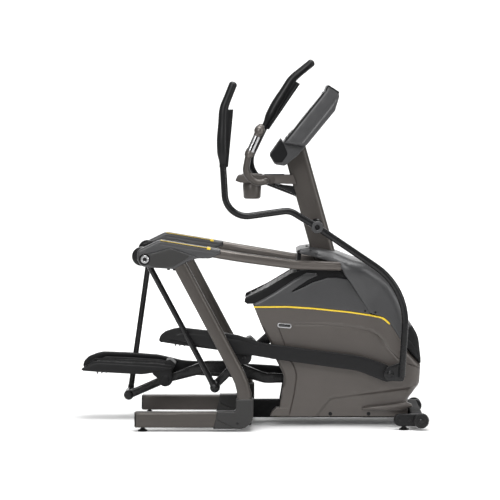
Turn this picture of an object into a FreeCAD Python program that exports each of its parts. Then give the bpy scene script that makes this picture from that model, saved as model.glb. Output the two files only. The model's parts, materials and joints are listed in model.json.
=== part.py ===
"""Elliptical trainer: a suspension-type machine with rear entry, modelled in millimetres.

Frame: +X is forwards (towards the console), +Y is the left-hand side, +Z is up. The origin lies on the
floor below the middle of the machine. The pose is the rest pose: the right-hand pedal is forwards.
"""
import FreeCAD, Part
import math
import os
import re
import Sketcher

V = FreeCAD.Vector
RIGHT = -1
LEFT = 1
SIDE_NAMES = {RIGHT: "right", LEFT: "left"}
SWING_AXIS = V(0, -1, 0)

SIZES = {
    # linkage: fixed pivots, lengths between pivots and the crank's rest angle
    "rod_top_x": -510, "rod_top_z": 813,
    "handle_pivot_x": 305, "handle_pivot_z": 961,
    "crank_x": 422, "crank_z": 393,
    "crank_radius": 256, "crank_angle": 48.3,
    "rod_length": 701, "lever_length": 198, "lever_bend": 18.5,
    "support_length": 865, "link_length": 698, "handle_drop": 781,
    # distances from the middle plane
    "frame_inner": 305, "frame_outer": 365,
    "rod_inner": 230, "rod_outer": 256,
    "handle_plane": 262,
    "link_inner": 200, "link_outer": 228,
    "pedal_inner": 60,
    "support_inner": 95, "support_outer": 125,
    "crank_inner": 60, "crank_outer": 76,
    "shroud_half": 172,
    "plate_inner": 40, "plate_outer": 50,
    # sections
    "wall": 3, "shell": 4,
    "rail_height": 73, "foot_height": 19, "foot_radius": 23.5, "foot_stem": 5,
    "tube_height": 44, "tube_width": 40,
    "beam_height": 83, "beam_base": 27,
    "handle_tube": 32, "grip_tube": 44, "handle_wall": 2.5,
    "fixed_tube": 30,
    "pin": 10, "rod_pin": 12, "crank_pin": 14, "link_bolt": 14, "running_gap": 0.05,
    "foot_boss": 24, "hub_boss": 27, "crank_eye": 33, "link_boss": 30, "handle_hub": 29,
    "crank_shaft_radius": 15, "flywheel_shaft": 8,
    # drive
    "pulley_radius": 110, "pinion_radius": 18, "flywheel_radius": 96,
    "flywheel_x": 665, "flywheel_z": 290, "belt_thick": 3, "belt_half": 9,
    # transport wheels
    "stabilizer_half": 262, "wheel_axle": 8, "wheel_x": 798, "wheel_z": 47,
    "wheel_radius": 36, "wheel_inner": 300, "wheel_outer": 324,
    # cup holder
    "cup_x": -5, "cup_radius": 44, "cup_top": 1197, "cup_depth": 112,
}

doc = FreeCAD.newDocument("elliptical_trainer")


def fill_sheet():
    """Write every driving size to a spreadsheet cell whose alias is its name."""
    sheet = doc.addObject("Spreadsheet::Sheet", "Sizes")
    for row, (name, value) in enumerate(SIZES.items(), start=1):
        sheet.set(f"A{row}", name)
        sheet.set(f"B{row}", str(value))
        sheet.setAlias(f"B{row}", name)
    doc.recompute()
    return sheet


sheet = fill_sheet()


def size(name):
    """The value of a driving size, read back from the sheet."""
    return float(getattr(sheet, name))


def bind(item, prop, text):
    """Bind a property to an expression written with plain size names."""
    named = re.sub(r"[a-z_]+", lambda m: f"Sizes.{m[0]}" if m[0] in SIZES else m[0], str(text))
    item.setExpression(prop, named)


def amount(value):
    """A number, or the value of an expression written with size names."""
    if not isinstance(value, str):
        return float(value)
    total = 0.0
    for sign, word in re.findall(r"([+-]?)\s*([a-z_]+|[0-9.]+)", value):
        part = size(word) if word in SIZES else float(word)
        total += -part if sign == "-" else part
    return total


# ---------------------------------------------------------------- helpers for sketches and solids


def origin_plane(body, role):
    """One of a body's own origin planes, found by its role."""
    return next(item for item in body.Origin.OriginFeatures if item.Role == role)


def draw_outline(body, name, corners, plane):
    """A fully constrained closed polygon; a corner given as text stays bound to the sheet."""
    sketch = body.newObject("Sketcher::SketchObject", name)
    sketch.AttachmentSupport = [(origin_plane(body, plane), "")]
    sketch.MapMode = "FlatFace"
    count = len(corners)
    spots = [V(amount(a), amount(b), 0) for a, b in corners]
    for index, spot in enumerate(spots):
        sketch.addGeometry(Part.LineSegment(spot, spots[(index + 1) % count]))
    for index in range(count):
        sketch.addConstraint(Sketcher.Constraint("Coincident", index, 2, (index + 1) % count, 1))
    for index, corner in enumerate(corners):
        for kind, value in zip(("DistanceX", "DistanceY"), corner):
            number = sketch.addConstraint(Sketcher.Constraint(kind, -1, 1, index, 1, amount(value)))
            if isinstance(value, str):
                bind(sketch, f"Constraints[{number}]", value)
    return sketch


def prism(label, corners, low, high, side=LEFT):
    """A side outline (x, z) padded across the machine from low to high, mirrored on the right side."""
    body = doc.addObject("PartDesign::Body", label)
    body.Label = label
    pad = body.newObject("PartDesign::Pad", label + "_pad")
    pad.Profile = draw_outline(body, label + "_outline", corners, "XZ_Plane")
    body.Tip = pad
    bind(pad, "Length", f"({high}) - ({low})")
    bind(body, "Placement.Base.y", f"{high}" if side == LEFT else f"-({low})")
    doc.recompute()
    return body


def round_corners(body, radius, corners):
    """Fillet the edges that run across the machine through the given (x, z) corners."""
    base = body.Tip
    names = []
    for number, edge in enumerate(base.Shape.Edges, start=1):
        ends = edge.Vertexes
        if len(ends) != 2 or abs(ends[0].X - ends[1].X) + abs(ends[0].Z - ends[1].Z) > 1e-4:
            continue
        for x, z in corners:
            if abs(ends[0].X - amount(x)) < 0.01 and abs(ends[0].Z - amount(z)) < 0.01:
                names.append(f"Edge{number}")
    fillet = body.newObject("PartDesign::Fillet", body.Label + "_round")
    fillet.Base = (base, names)
    fillet.Radius = radius
    body.Tip = fillet
    doc.recompute()
    return body


def hollow(body, open_where):
    """Turn a body into a thin-walled tube: faces for which open_where(centre) is true are left open."""
    base = body.Tip
    names = [f"Face{n}" for n, face in enumerate(base.Shape.Faces, start=1) if open_where(face.CenterOfMass)]
    walls = body.newObject("PartDesign::Thickness", body.Label + "_walls")
    walls.Base = (base, names)
    walls.Reversed = True
    bind(walls, "Value", "wall")
    body.Tip = walls
    doc.recompute()
    return body


def turned(label, profile, axis, base):
    """A solid of revolution about Y or Z; the profile is (radius, distance along the axis)."""
    body = doc.addObject("PartDesign::Body", label)
    body.Label = label
    revolve = body.newObject("PartDesign::Revolution", label + "_turn")
    plane = "XY_Plane" if axis == "Y" else "XZ_Plane"
    revolve.Profile = draw_outline(body, label + "_profile", profile, plane)
    revolve.ReferenceAxis = (revolve.Profile[0], ["V_Axis"])
    revolve.Angle = 360
    body.Tip = revolve
    body.Placement.Base = V(*[amount(value) for value in base])
    for name, value in zip("xyz", base):
        if isinstance(value, str):
            bind(body, f"Placement.Base.{name}", value)
    doc.recompute()
    return body


def rod_across(label, radius, x, z, low, high):
    """A cylinder across the machine, from y = low to y = high."""
    item = doc.addObject("Part::Cylinder", label)
    item.Label = label
    bind(item, "Radius", radius)
    bind(item, "Height", f"({high}) - ({low})")
    item.Placement = FreeCAD.Placement(V(amount(x), 0, amount(z)), FreeCAD.Rotation(V(1, 0, 0), -90))
    for name, value in (("x", x), ("z", z)):
        if isinstance(value, str):
            bind(item, f"Placement.Base.{name}", value)
    bind(item, "Placement.Base.y", low)
    return item


def span(low, high, side):
    """Expressions for y from the inner to the outer distance on one side of the machine."""
    return (low, high) if side == LEFT else (f"-({high})", f"-({low})")


def block(label, x0, x1, y0, y1, z0, z1):
    """A box between two corners."""
    item = doc.addObject("Part::Box", label)
    item.Label = label
    for prop, low, high in (("Length", x0, x1), ("Width", y0, y1), ("Height", z0, z1)):
        bind(item, prop, f"({high}) - ({low})")
    for name, low in (("x", x0), ("y", y0), ("z", z0)):
        bind(item, f"Placement.Base.{name}", f"{low}")
    return item


def joined(label, items):
    """One solid from several that touch or cross."""
    item = doc.addObject("Part::MultiFuse", label)
    item.Shapes = items
    item.Label = label
    return item


def grouped(label, items):
    """Separate solids that share one node."""
    item = doc.addObject("Part::Compound", label)
    item.Links = items
    item.Label = label
    return item


def cut_away(label, base, tools):
    """The base with every tool taken away from it."""
    item = doc.addObject("Part::Cut", label)
    item.Base = base
    item.Tool = tools[0] if len(tools) == 1 else joined(label + "_tools", tools)
    item.Label = label
    doc.recompute()
    return item


def rounded_wire(points, reach=0.45, radii=None):
    """Straight runs joined by tangent arcs, through a list of points."""
    edges = []
    start = points[0]
    for index in range(1, len(points) - 1):
        before = (points[index] - points[index - 1])
        after = (points[index + 1] - points[index])
        half_turn = before.getAngle(after) / 2
        if radii:
            tangent = radii[index - 1] * math.tan(half_turn)
        else:
            tangent = reach * min(before.Length, after.Length)
        radius = tangent / math.tan(half_turn)
        arc_start = points[index] - before.normalize() * tangent
        arc_end = points[index] + after.normalize() * tangent
        inward = (after - before).normalize()
        middle = points[index] + inward * (radius / math.cos(half_turn) - radius)
        edges.append(Part.LineSegment(start, arc_start).toShape())
        edges.append(Part.Arc(arc_start, middle, arc_end).toShape())
        start = arc_end
    edges.append(Part.LineSegment(start, points[-1]).toShape())
    return Part.Wire(edges)


def swept(label, wire, radius):
    """A round bar along a wire: a circle swept along the wire as a spine."""
    spine = doc.addObject("Part::Feature", label + "_spine")
    spine.Shape = wire
    circle = doc.addObject("Part::Circle", label + "_section")
    bind(circle, "Radius", radius)
    edge = wire.Edges[0]
    circle.Placement = FreeCAD.Placement(
        edge.valueAt(edge.FirstParameter),
        FreeCAD.Rotation(V(0, 0, 1), edge.tangentAt(edge.FirstParameter)))
    sweep = doc.addObject("Part::Sweep", label)
    sweep.Sections = [circle]
    sweep.Spine = spine
    sweep.Solid = True
    sweep.Label = label
    doc.recompute()
    return sweep


def side_points(pairs, y, origin=(0, 0)):
    """Points at one distance from the middle plane, from (x, z) pairs."""
    return [V(origin[0] + x, y, origin[1] + z) for x, z in pairs]


# ---------------------------------------------------------------- the linkage at rest


def meeting_point(centre_a, reach_a, centre_b, reach_b):
    """The lower of the two points at the given distances from two centres, in the X-Z plane."""
    apart = centre_b - centre_a
    along = (reach_a ** 2 - reach_b ** 2 + apart.Length ** 2) / (2 * apart.Length)
    across = math.sqrt(reach_a ** 2 - along ** 2)
    middle = centre_a + V(apart).normalize() * along
    normal = V(-apart.z, 0, apart.x).normalize()
    return min((middle + normal * across, middle - normal * across), key=lambda point: point.z)


def polar(length, degrees):
    """A vector in the X-Z plane at an angle above +X."""
    return V(length * math.cos(math.radians(degrees)), 0, length * math.sin(math.radians(degrees)))


def heading(vector):
    """The angle of a vector above +X, in degrees."""
    return math.degrees(math.atan2(vector.z, vector.x))


def linkage(side):
    """Pivot positions and angles of one side's linkage in the rest pose."""
    angle = size("crank_angle") + (0 if side == RIGHT else 180)
    rod_top = V(size("rod_top_x"), 0, size("rod_top_z"))
    handle = V(size("handle_pivot_x"), 0, size("handle_pivot_z"))
    pin = V(size("crank_x"), 0, size("crank_z")) + polar(size("crank_radius"), angle)
    rod_foot = meeting_point(rod_top, size("rod_length"), pin, size("support_length"))
    support_angle = heading(pin - rod_foot)
    hub = rod_foot + polar(size("lever_length"), support_angle + size("lever_bend"))
    link_end = meeting_point(hub, size("link_length"), handle, size("handle_drop"))
    return {
        "rod_top": rod_top, "handle": handle, "pin": pin, "rod_foot": rod_foot, "hub": hub,
        "link_end": link_end, "crank_angle": angle, "support_angle": support_angle,
        "rod_angle": heading(rod_foot - rod_top) + 90,
        "link_angle": heading(link_end - hub), "handle_angle": heading(link_end - handle) + 90,
    }


LINKAGE = {side: linkage(side) for side in (RIGHT, LEFT)}
LINK_TILT = {side: LINKAGE[side]["link_angle"] - LINKAGE[RIGHT]["link_angle"] for side in (RIGHT, LEFT)}
HANDLE_TILT = {side: LINKAGE[side]["handle_angle"] - LINKAGE[RIGHT]["handle_angle"]
               for side in (RIGHT, LEFT)}
# the link's front eye and the handle's lower eye, in the frame of the right-hand side at rest
LINK_EYE = LINKAGE[RIGHT]["link_end"] - LINKAGE[RIGHT]["hub"]
HANDLE_EYE = LINKAGE[RIGHT]["link_end"] - LINKAGE[RIGHT]["handle"]


def swing(item, pivot, degrees):
    """Turn a piece, modelled about the origin, about its pivot and put it there; y stays as it is."""
    turn = FreeCAD.Placement(V(pivot.x, 0, pivot.z), FreeCAD.Rotation(SWING_AXIS, degrees))
    item.Placement = turn.multiply(item.Placement)
    return item


# ---------------------------------------------------------------- welded side frames and base

NODES = []


def keep(*items):
    """Record the finished pieces that become nodes."""
    NODES.extend(items)
    return items[0]


FRAME_OUTLINE = [(-554, "foot_height"), (0, "foot_height"), (0, 210), (-336.4, 846.3), (-414.9, 859.6),
                 (-71.4, 210), (-71.4, "foot_height + rail_height"), (-554, "foot_height + rail_height")]
ELBOW_OUTLINE = [(-172, 14), (4, 14), (4, 155), (-78, 155), (-78, 96), (-158, 96)]
ELBOW_CORE = [(-180, 18.6), (0.4, 18.6), (0.4, 165), (-74.2, 165), (-71.8, 128), (-71.8, 92.4), (-180, 92.4)]
COVER_OUTLINE = [(-542, 812), (-524, 782), (-490, 776), (-366, 768), (-310, 802), (-261, 832),
                 (-194, 836), (-150, 846), (-150, 860), (-437, 907), (-542, 855)]
SIDE_PANEL_OUTLINE = [(-493, 788), (-448, 776), (-373, 780), (-287, 832), (-385, 866), (-485, 839)]
ACCENT_OUTLINE = [(-319, 888.2), (-225, 872.8), (-225, 875.4), (-319, 890.8)]


def side_frame(side):
    """Base rail, elbow and leaning upright of one side, with the plate that carries the rod's axle."""
    name = SIDE_NAMES[side]
    tube = prism(f"{name}_rail_and_upright", FRAME_OUTLINE, "frame_inner", "frame_outer", side)
    round_corners(tube, 66, [(0, "foot_height")])
    round_corners(tube, 400, [(0, 210)])
    round_corners(tube, 330, [(-71.4, 210)])
    round_corners(tube, 12, [(-71.4, "foot_height + rail_height")])
    hollow(tube, lambda centre: centre.x < -553.9 or centre.z > 845)
    plate = prism(f"{name}_axle_plate", [(-532, 795), (-365, 770), (-396, 832), (-532, 836)],
                  "frame_inner + 18", "frame_inner + 30", side)
    axle = rod_across(f"{name}_rod_axle", "rod_pin", "rod_top_x", "rod_top_z",
                      *span("rod_inner - 3", "frame_inner + 24", side))
    solid = joined(f"{name}_side_weldment", [tube, plate, axle])
    hole = doc.addObject("Part::Cylinder", f"{name}_foot_hole")
    bind(hole, "Radius", "foot_stem + running_gap")
    bind(hole, "Height", "wall + 4")
    hole.Placement.Base = V(-519, side * 335, size("foot_height") - 2)
    return keep(cut_away(f"{name}_side_frame", solid, [hole]))


def elbow_cover(side):
    """Moulded boot around the corner between rail and upright, open at both ends."""
    name = SIDE_NAMES[side]
    shell = prism(f"{name}_elbow_block", ELBOW_OUTLINE, "frame_inner - 4", "frame_outer + 4", side)
    round_corners(shell, 70, [(4, 14)])
    round_corners(shell, 14, [(-78, 96)])
    core = prism(f"{name}_elbow_core", ELBOW_CORE, "frame_inner - 0.3", "frame_outer + 0.3", side)
    round_corners(core, 66.4, [(0.4, 18.6)])
    round_corners(core, 11.6, [(-71.8, 92.4)])
    low, high = sorted((side * (size("frame_inner") - 6), side * (size("frame_inner") + 1)))
    member_space = block(f"{name}_elbow_member_space", -66.5, -5.5, low, high, 23.5, 90.5)
    return keep(cut_away(f"{name}_elbow_cover", shell, [core, member_space]))


TUBE_ROUTE = [(-420, 335, 883), (-60, 335, 822), (200, 268, 783), (442, 176, 769)]


def tube_route(side):
    """Middle line of the upper tube: level with the upright at the rear, then in towards the hood."""
    return [V(x, side * y, z) for x, y, z in TUBE_ROUTE]


def tube_solid(label, side, extra):
    """Rounded rectangular bar along the upper tube's route, grown by extra on every face."""
    wide = size("tube_width") / 2 + extra
    tall = size("tube_height") / 2 + extra
    wire = rounded_wire(tube_route(side))
    face = Part.makePlane(2 * wide, 2 * tall, V(-wide, -tall, 0))
    start = wire.Edges[0]
    section = face.OuterWire
    turn = FreeCAD.Rotation(V(0, 1, 0), V(0, 0, 1), start.tangentAt(start.FirstParameter), "ZXY")
    section.Placement = FreeCAD.Placement(start.valueAt(start.FirstParameter), turn)
    shell = Part.BRepOffsetAPI.MakePipeShell(wire)
    shell.setBiNormalMode(V(0, 0, 1))
    shell.setTransitionMode(2)
    shell.add(section)
    shell.build()
    shell.makeSolid()
    item = doc.addObject("Part::Feature", label)
    item.Shape = shell.shape()
    item.Label = label
    return item


def upper_tube(side):
    """Bent rectangular tube from the rear cover to the hood."""
    name = SIDE_NAMES[side]
    bar = tube_solid(f"{name}_upper_bar", side, 0)
    bore = tube_solid(f"{name}_upper_bore", side, -size("wall"))
    return keep(cut_away(f"{name}_upper_tube", bar, [bore]))


def rear_cover(side):
    """Cover over the joint of upright and upper tube, with the brown side panel and yellow accent."""
    name = SIDE_NAMES[side]
    shell = prism(f"{name}_cover_block", COVER_OUTLINE, "frame_inner - 5", "frame_outer + 5", side)
    round_corners(shell, 28, [(-542, 812), (-524, 782)])
    round_corners(shell, 20, [(-542, 855)])
    tools = [
        prism(f"{name}_cover_upright_space", [(-284.9, 750), (-335.8, 847), (-416.6, 861), (-357.9, 750)],
              "frame_inner - 0.5", "frame_outer + 0.5", side),
        prism(f"{name}_cover_plate_space", [(-536, 790), (-360, 766), (-395, 838), (-536, 840)],
              "frame_inner + 17", "frame_inner + 31", side),
        tube_solid(f"{name}_cover_tube_space", side, 0.5),
        rod_across(f"{name}_cover_axle_space", "rod_pin + 0.5", "rod_top_x", "rod_top_z",
                   *span("frame_inner - 20", "frame_inner + 25", side)),
    ]
    cover = keep(cut_away(f"{name}_rear_cover", shell, tools))
    panel = prism(f"{name}_rear_side_panel", SIDE_PANEL_OUTLINE, "frame_outer + 5", "frame_outer + 8", side)
    keep(round_corners(panel, 10, SIDE_PANEL_OUTLINE[:1] + SIDE_PANEL_OUTLINE[2:]))
    return cover


def base():
    """Cross member between the elbows, central beam, front stabilizer and its end plates."""
    top = "foot_height + 71"
    keep(block("rear_cross_member", -66, -6, "-frame_inner", "frame_inner", "foot_height + 5", top))
    beam = block("base_beam_outside", -6, 750, "-plate_inner", "plate_inner",
                 "beam_base", "beam_base + beam_height")
    inside = block("base_beam_inside", -5, 751, "wall - plate_inner", "plate_inner - wall",
                   "beam_base + wall", "beam_base + beam_height - wall")
    keep(cut_away("base_beam", beam, [inside]))
    keep(block("front_stabilizer", 750, 808, "-stabilizer_half", "stabilizer_half",
               "foot_height + 6", "foot_height + 56"))
    for side in (RIGHT, LEFT):
        name = SIDE_NAMES[side]
        outline = [(669, 19), (834, 19), (834, 76), (669, 76)]
        plate = prism(f"{name}_end_plate", outline, "stabilizer_half", "wheel_inner - 2", side)
        round_corners(plate, 28, outline)
        reach = span("stabilizer_half + 8", "wheel_inner", side)
        bore = rod_across(f"{name}_axle_hole", "wheel_axle", "wheel_x", "wheel_z", *reach)
        foot_hole = doc.addObject("Part::Cylinder", f"{name}_front_foot_hole")
        bind(foot_hole, "Radius", "foot_stem + running_gap")
        foot_hole.Height = 24
        foot_hole.Placement.Base = V(FRONT_FOOT[0], side * FRONT_FOOT[1], size("foot_height") - 1)
        keep(cut_away(f"{name}_stabilizer_end", plate, [bore, foot_hole]))
    axles = []
    for side in (RIGHT, LEFT):
        reach = span("stabilizer_half + 8", "wheel_outer + 6", side)
        axles.append(rod_across(f"{SIDE_NAMES[side]}_wheel_axle", "wheel_axle", "wheel_x", "wheel_z", *reach))
    keep(grouped("wheel_axles", axles))


REAR_FOOT = (-519, 335)
FRONT_FOOT = (717, 280)


def feet_and_wheels():
    """Levelling feet on threaded stems, and the two transport wheels."""
    for place, (x, y) in (("rear", REAR_FOOT), ("front", FRONT_FOOT)):
        for side in (RIGHT, LEFT):
            profile = [(0, 0), ("foot_radius", 0), ("foot_radius", 4), (13, 14), (13, "foot_height"),
                       ("foot_stem", "foot_height"), ("foot_stem", "foot_height + 18"),
                       (0, "foot_height + 18")]
            keep(turned(f"{SIDE_NAMES[side]}_{place}_foot", profile, "Z", (x, side * y, 0)))
    for side in (RIGHT, LEFT):
        low, high = [side * size(word) for word in ("wheel_inner", "wheel_outer")]
        bore = size("wheel_axle") + size("running_gap")
        radius = size("wheel_radius")
        profile = [(bore, low), (radius - 4, low), (radius, low + side * 4),
                   (radius, high - side * 4), (radius - 4, high), (bore, high)]
        keep(turned(f"{SIDE_NAMES[side]}_transport_wheel", profile, "Y", ("wheel_x", 0, "wheel_z")))


# ---------------------------------------------------------------- mast, console and fixed handlebar

MAST_OUTLINE = [(345, 600), (461, 600), (253, 1340), (250, 1340), (150, 1356), (150, 1300)]
CONSOLE_OUTLINE = [(343, 1603), (356, 1633), (406, 1600), (410, 1577), (390, 1510), (250, 1340), (146, 1357)]
SCREEN_OUTLINE = [(156, 1369.6), (333, 1590.6), (328.3, 1594.4), (151.3, 1373.4)]
TRAY_OUTLINE = [(136, 1377), (142, 1357.6), (236, 1342.2), (205, 1290), (144, 1247), (104, 1256), (78, 1297)]


def mast():
    """Leaning mast of closed section, bored for the handlebars' cross axle."""
    column = prism("mast_column", MAST_OUTLINE, "-plate_inner", "plate_inner")
    hollow(column, lambda centre: centre.z < 601)
    bore = rod_across("mast_bore", "18", "handle_pivot_x", "handle_pivot_z", "-60", "60")
    keep(cut_away("mast", column, [bore]))
    step = "handle_plane - 23"
    tip = "handle_plane + 24"
    profile = [(0, f"-{size('handle_plane') + 24}"), ("pin", f"-{size('handle_plane') + 24}"),
               ("pin", f"-{size('handle_plane') - 23}"), (18, f"-{size('handle_plane') - 23}"),
               (18, step), ("pin", step), ("pin", tip), (0, tip)]
    keep(turned("handle_axle", profile, "Y", ("handle_pivot_x", 0, "handle_pivot_z")))


def console():
    """Console housing, its screen, and the accessory tray below it."""
    housing = prism("console_housing", CONSOLE_OUTLINE, -215, 215)
    keep(round_corners(housing, 14, [(356, 1633), (406, 1600), (410, 1577), (250, 1340)]))
    keep(prism("console_screen", SCREEN_OUTLINE, -198, 198))
    tray = prism("tray_block", TRAY_OUTLINE, -150, 150)
    round_corners(tray, 24, [(144, 1247), (104, 1256)])
    mast_outline = [(244, 960), (361, 960), (254, 1341), (149.4, 1365), (149.4, 1299.8)]
    space = prism("tray_mast_space", mast_outline, -40.5, 40.5)
    keep(cut_away("console_tray", tray, [space]))


def fixed_bar_points(half):
    """Middle line of the fixed handlebar, from one grip's end to the other's."""
    rise = [(36, 1426), (-22, 1296), (-28, 1232), (88, 1172)]
    near = [V(x, -half, z) for x, z in rise]
    far = [V(x, half, z) for x, z in rise]
    return near + far[::-1]


def fixed_handlebar():
    """Bent fixed handlebar with heart-rate sleeves, on an arm that also carries the cup holder."""
    wire = rounded_wire(fixed_bar_points(188), radii=[60, 50, 60, 60, 50, 60])
    bar = swept("fixed_bar_outside", wire, "fixed_tube / 2")
    bore = swept("fixed_bar_inside", wire, "fixed_tube / 2 - 2")
    keep(cut_away("fixed_handlebar", bar, [bore]))
    sleeves = []
    for side in (RIGHT, LEFT):
        low, high = V(-11.5, side * 188, 1319.6), V(22, side * 188, 1394.6)
        sleeve = doc.addObject("Part::Cylinder", f"{SIDE_NAMES[side]}_sleeve_outside")
        sleeve.Radius = 18
        hole = doc.addObject("Part::Cylinder", f"{SIDE_NAMES[side]}_sleeve_hole")
        bind(hole, "Radius", "fixed_tube / 2 + 0.3")
        for item in (sleeve, hole):
            item.Height = (high - low).Length
            item.Placement = FreeCAD.Placement(low, FreeCAD.Rotation(V(0, 0, 1), high - low))
        sleeves.append(cut_away(f"{SIDE_NAMES[side]}_sleeve", sleeve, [hole]))
    keep(grouped("heart_rate_sleeves", sleeves))


def tray_arm():
    """Arm from the mast to the rear, with the cup holder hanging in its round hole."""
    arm = prism("arm_block", [(-93, 1160), (-60, 1148), (60, 1148), (150, 1140), (192, 1140), (176, 1197),
                              (-93, 1197)], -66, 66)
    round_corners(arm, 10, [(-93, 1160), (-93, 1197)])
    hole = doc.addObject("Part::Cylinder", "arm_cup_hole")
    bind(hole, "Radius", "cup_radius")
    hole.Height = 100
    hole.Placement.Base = V(size("cup_x"), 0, 1120)
    mast_space = prism("arm_mast_space", [(203, 1100), (300, 1100), (300, 1220), (170, 1220)], -68, 68)
    bar_space = rod_across("arm_bar_space", "fixed_tube / 2", 88, 1172, -100, 100)
    keep(cut_away("tray_arm", arm, [hole, mast_space, bar_space]))
    top = size("cup_top")
    low = top - size("cup_depth")
    radius = size("cup_radius")
    profile = [(0, low), (radius - 10, low), (radius - 3, low + 8), ("cup_radius", "cup_top"),
               (radius + 5, "cup_top"), (radius + 5, top + 3), (radius - 3, top + 3),
               (radius - 6, low + 12), (0, low + 5)]
    keep(turned("cup_holder", profile, "Z", ("cup_x", 0, 0)))


# ---------------------------------------------------------------- shroud and drive

SEAM = [(4, 577), (169, 579), (291, 571), (464, 553), (559, 539), (626, 525), (657, 495), (707, 415)]
REAR_EDGE = [(120, 48), (146, 207), (148, 246), (110, 321), (84, 402), (50, 463)]
FRONT_EDGE = [(736, 371), (803, 300), (797, 204), (742, 130), (742, 48)]
HOOD_TOP = [(747, 514), (712, 608), (669, 679), (616, 737), (559, 780), (473, 801), (389, 835), (268, 857),
            (225, 850), (203, 838), (210, 746), (-41, 600)]
FRONT_COVER = [(707, 415), (747, 514), (791, 433), (803, 328), (803, 300), (736, 371)]
REAR_PANEL = [(-38, 596), (-34, 604), (208, 745), (212, 738)]


def shifted(points, dx, dz):
    """The same points, moved."""
    return [(x + dx, z + dz) for x, z in points]


def side_shell(side):
    """Lower half of the shroud on one side: flat wall with turned-in rear and front edges."""
    name = SIDE_NAMES[side]
    wall = size("shell")
    outer = prism(f"{name}_shell_block", SEAM + FRONT_EDGE + REAR_EDGE, 1, "shroud_half", side)
    inside = (shifted(SEAM, 0, 30) + shifted(FRONT_EDGE, -1.4 * wall, 0) + [(742 - 1.4 * wall, 20)]
              + [(120 + wall, 20)] + shifted(REAR_EDGE, 1.4 * wall, 0) + [(4 + 1.4 * wall, 607)])
    inside[len(SEAM) - 1] = (700, 430)
    core = prism(f"{name}_shell_core", inside, -1, "shroud_half - shell", side)
    gap = block(f"{name}_shell_rear_gap", -60, 200, min(0, side * 150), max(0, side * 150), 20, 470)
    beam = block(f"{name}_shell_beam_gap", 600, 900, -41, 41, 20, 112)
    return keep(cut_away(f"{name}_shroud_side", outer, [core, gap, beam]))


def hood():
    """Dark upper half of the shroud, open where mast, upper tubes and rear panel pass."""
    outer = prism("hood_block", HOOD_TOP + SEAM, "-shroud_half", "shroud_half")
    inside = [(740, 505), (706, 604), (664, 675), (612, 733), (557, 775), (471, 796), (388, 830), (268, 852),
              (227, 845), (208, 836), (215, 744), (-30, 601), (-2, 540), (700, 380), (703, 415)]
    core = prism("hood_core", inside, "shell - shroud_half", "shroud_half - shell")
    mast_gap = prism("hood_mast_gap", [(316, 700), (434, 700), (378, 900), (260, 900)], -42, 42)
    panel_space = [(-60, 582.5), (-60, 700), (180, 760), (213, 747.5), (214.5, 738.2)]
    panel_gap = prism("hood_panel_gap", panel_space, -150, 150)
    tubes = [tube_solid(f"hood_{SIDE_NAMES[s]}_tube_space", s, 0.5) for s in (RIGHT, LEFT)]
    keep(cut_away("shroud_hood", outer, [core, mast_gap, panel_gap] + tubes))
    keep(prism("shroud_rear_panel", REAR_PANEL, -149.5, 149.5))
    front = prism("front_cover_block", FRONT_COVER, "-shroud_half", "shroud_half")
    inside = [(690, 415), (745, 506), (786, 431), (797, 328), (797, 308), (730, 360)]
    front_core = prism("front_cover_core", inside, "shell - shroud_half", "shroud_half - shell")
    keep(cut_away("shroud_front_cover", front, [front_core]))
    strip = SEAM[:-1] + shifted(SEAM[:-1][::-1], 0, -10)
    keep(grouped("shroud_trim_strips", [prism(f"{SIDE_NAMES[s]}_trim_strip", strip, "shroud_half",
                                              "shroud_half + 1.5", s) for s in (RIGHT, LEFT)]))


def drive_frame():
    """Two upright plates beside the central beam that carry mast, crank and flywheel."""
    outline = [(350, 60), (715, 60), (715, 330), (560, 430), (480, 560), (440, 720), (300, 720), (330, 600),
               (350, 400)]
    plates = []
    for side in (RIGHT, LEFT):
        name = SIDE_NAMES[side]
        plate = prism(f"{name}_drive_plate", outline, "plate_inner", "plate_outer", side)
        holes = [rod_across(f"{name}_{wheel}_hole", f"{shaft} + running_gap", f"{wheel}_x", f"{wheel}_z", -60, 60)
                 for wheel, shaft in (("crank", "crank_shaft_radius"), ("flywheel", "flywheel_shaft"))]
        plates.append(cut_away(f"{name}_bored_plate", plate, holes))
    keep(grouped("drive_frame", plates))


def crank():
    """Crank shaft, one arm with a stub pin on each end, and the large belt pulley between the plates."""
    keep(rod_across("crank_shaft", "crank_shaft_radius", "crank_x", "crank_z",
                    "-crank_outer", "crank_outer"))
    for side in (RIGHT, LEFT):
        name = SIDE_NAMES[side]
        reach = size("crank_radius")
        outline = [(-28, -26), (reach + 24, -20), (reach + 24, 20), (-28, 26)]
        arm = prism(f"{name}_arm_bar", outline, "crank_inner", "crank_outer", side)
        round_corners(arm, 16, outline)
        pin_ends = span("crank_outer - 4", "support_inner - 5", side)
        pin = rod_across(f"{name}_crank_pin", "crank_pin", reach, 0, *pin_ends)
        bore = rod_across(f"{name}_arm_bore", "crank_shaft_radius", 0, 0, -100, 100)
        whole = cut_away(f"{name}_crank_arm", joined(f"{name}_arm_and_pin", [arm, pin]), [bore])
        keep(swing(whole, V(size("crank_x"), 0, size("crank_z")), LINKAGE[side]["crank_angle"]))
    shaft, rim = size("crank_shaft_radius"), size("pulley_radius")
    profile = [(shaft, -12), (rim - 16, -12), (rim - 16, -9), (rim, -9), (rim, 9), (rim - 16, 9),
               (rim - 16, 12), (shaft, 12)]
    keep(turned("drive_pulley", profile, "Y", ("crank_x", 0, "crank_z")))


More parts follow.
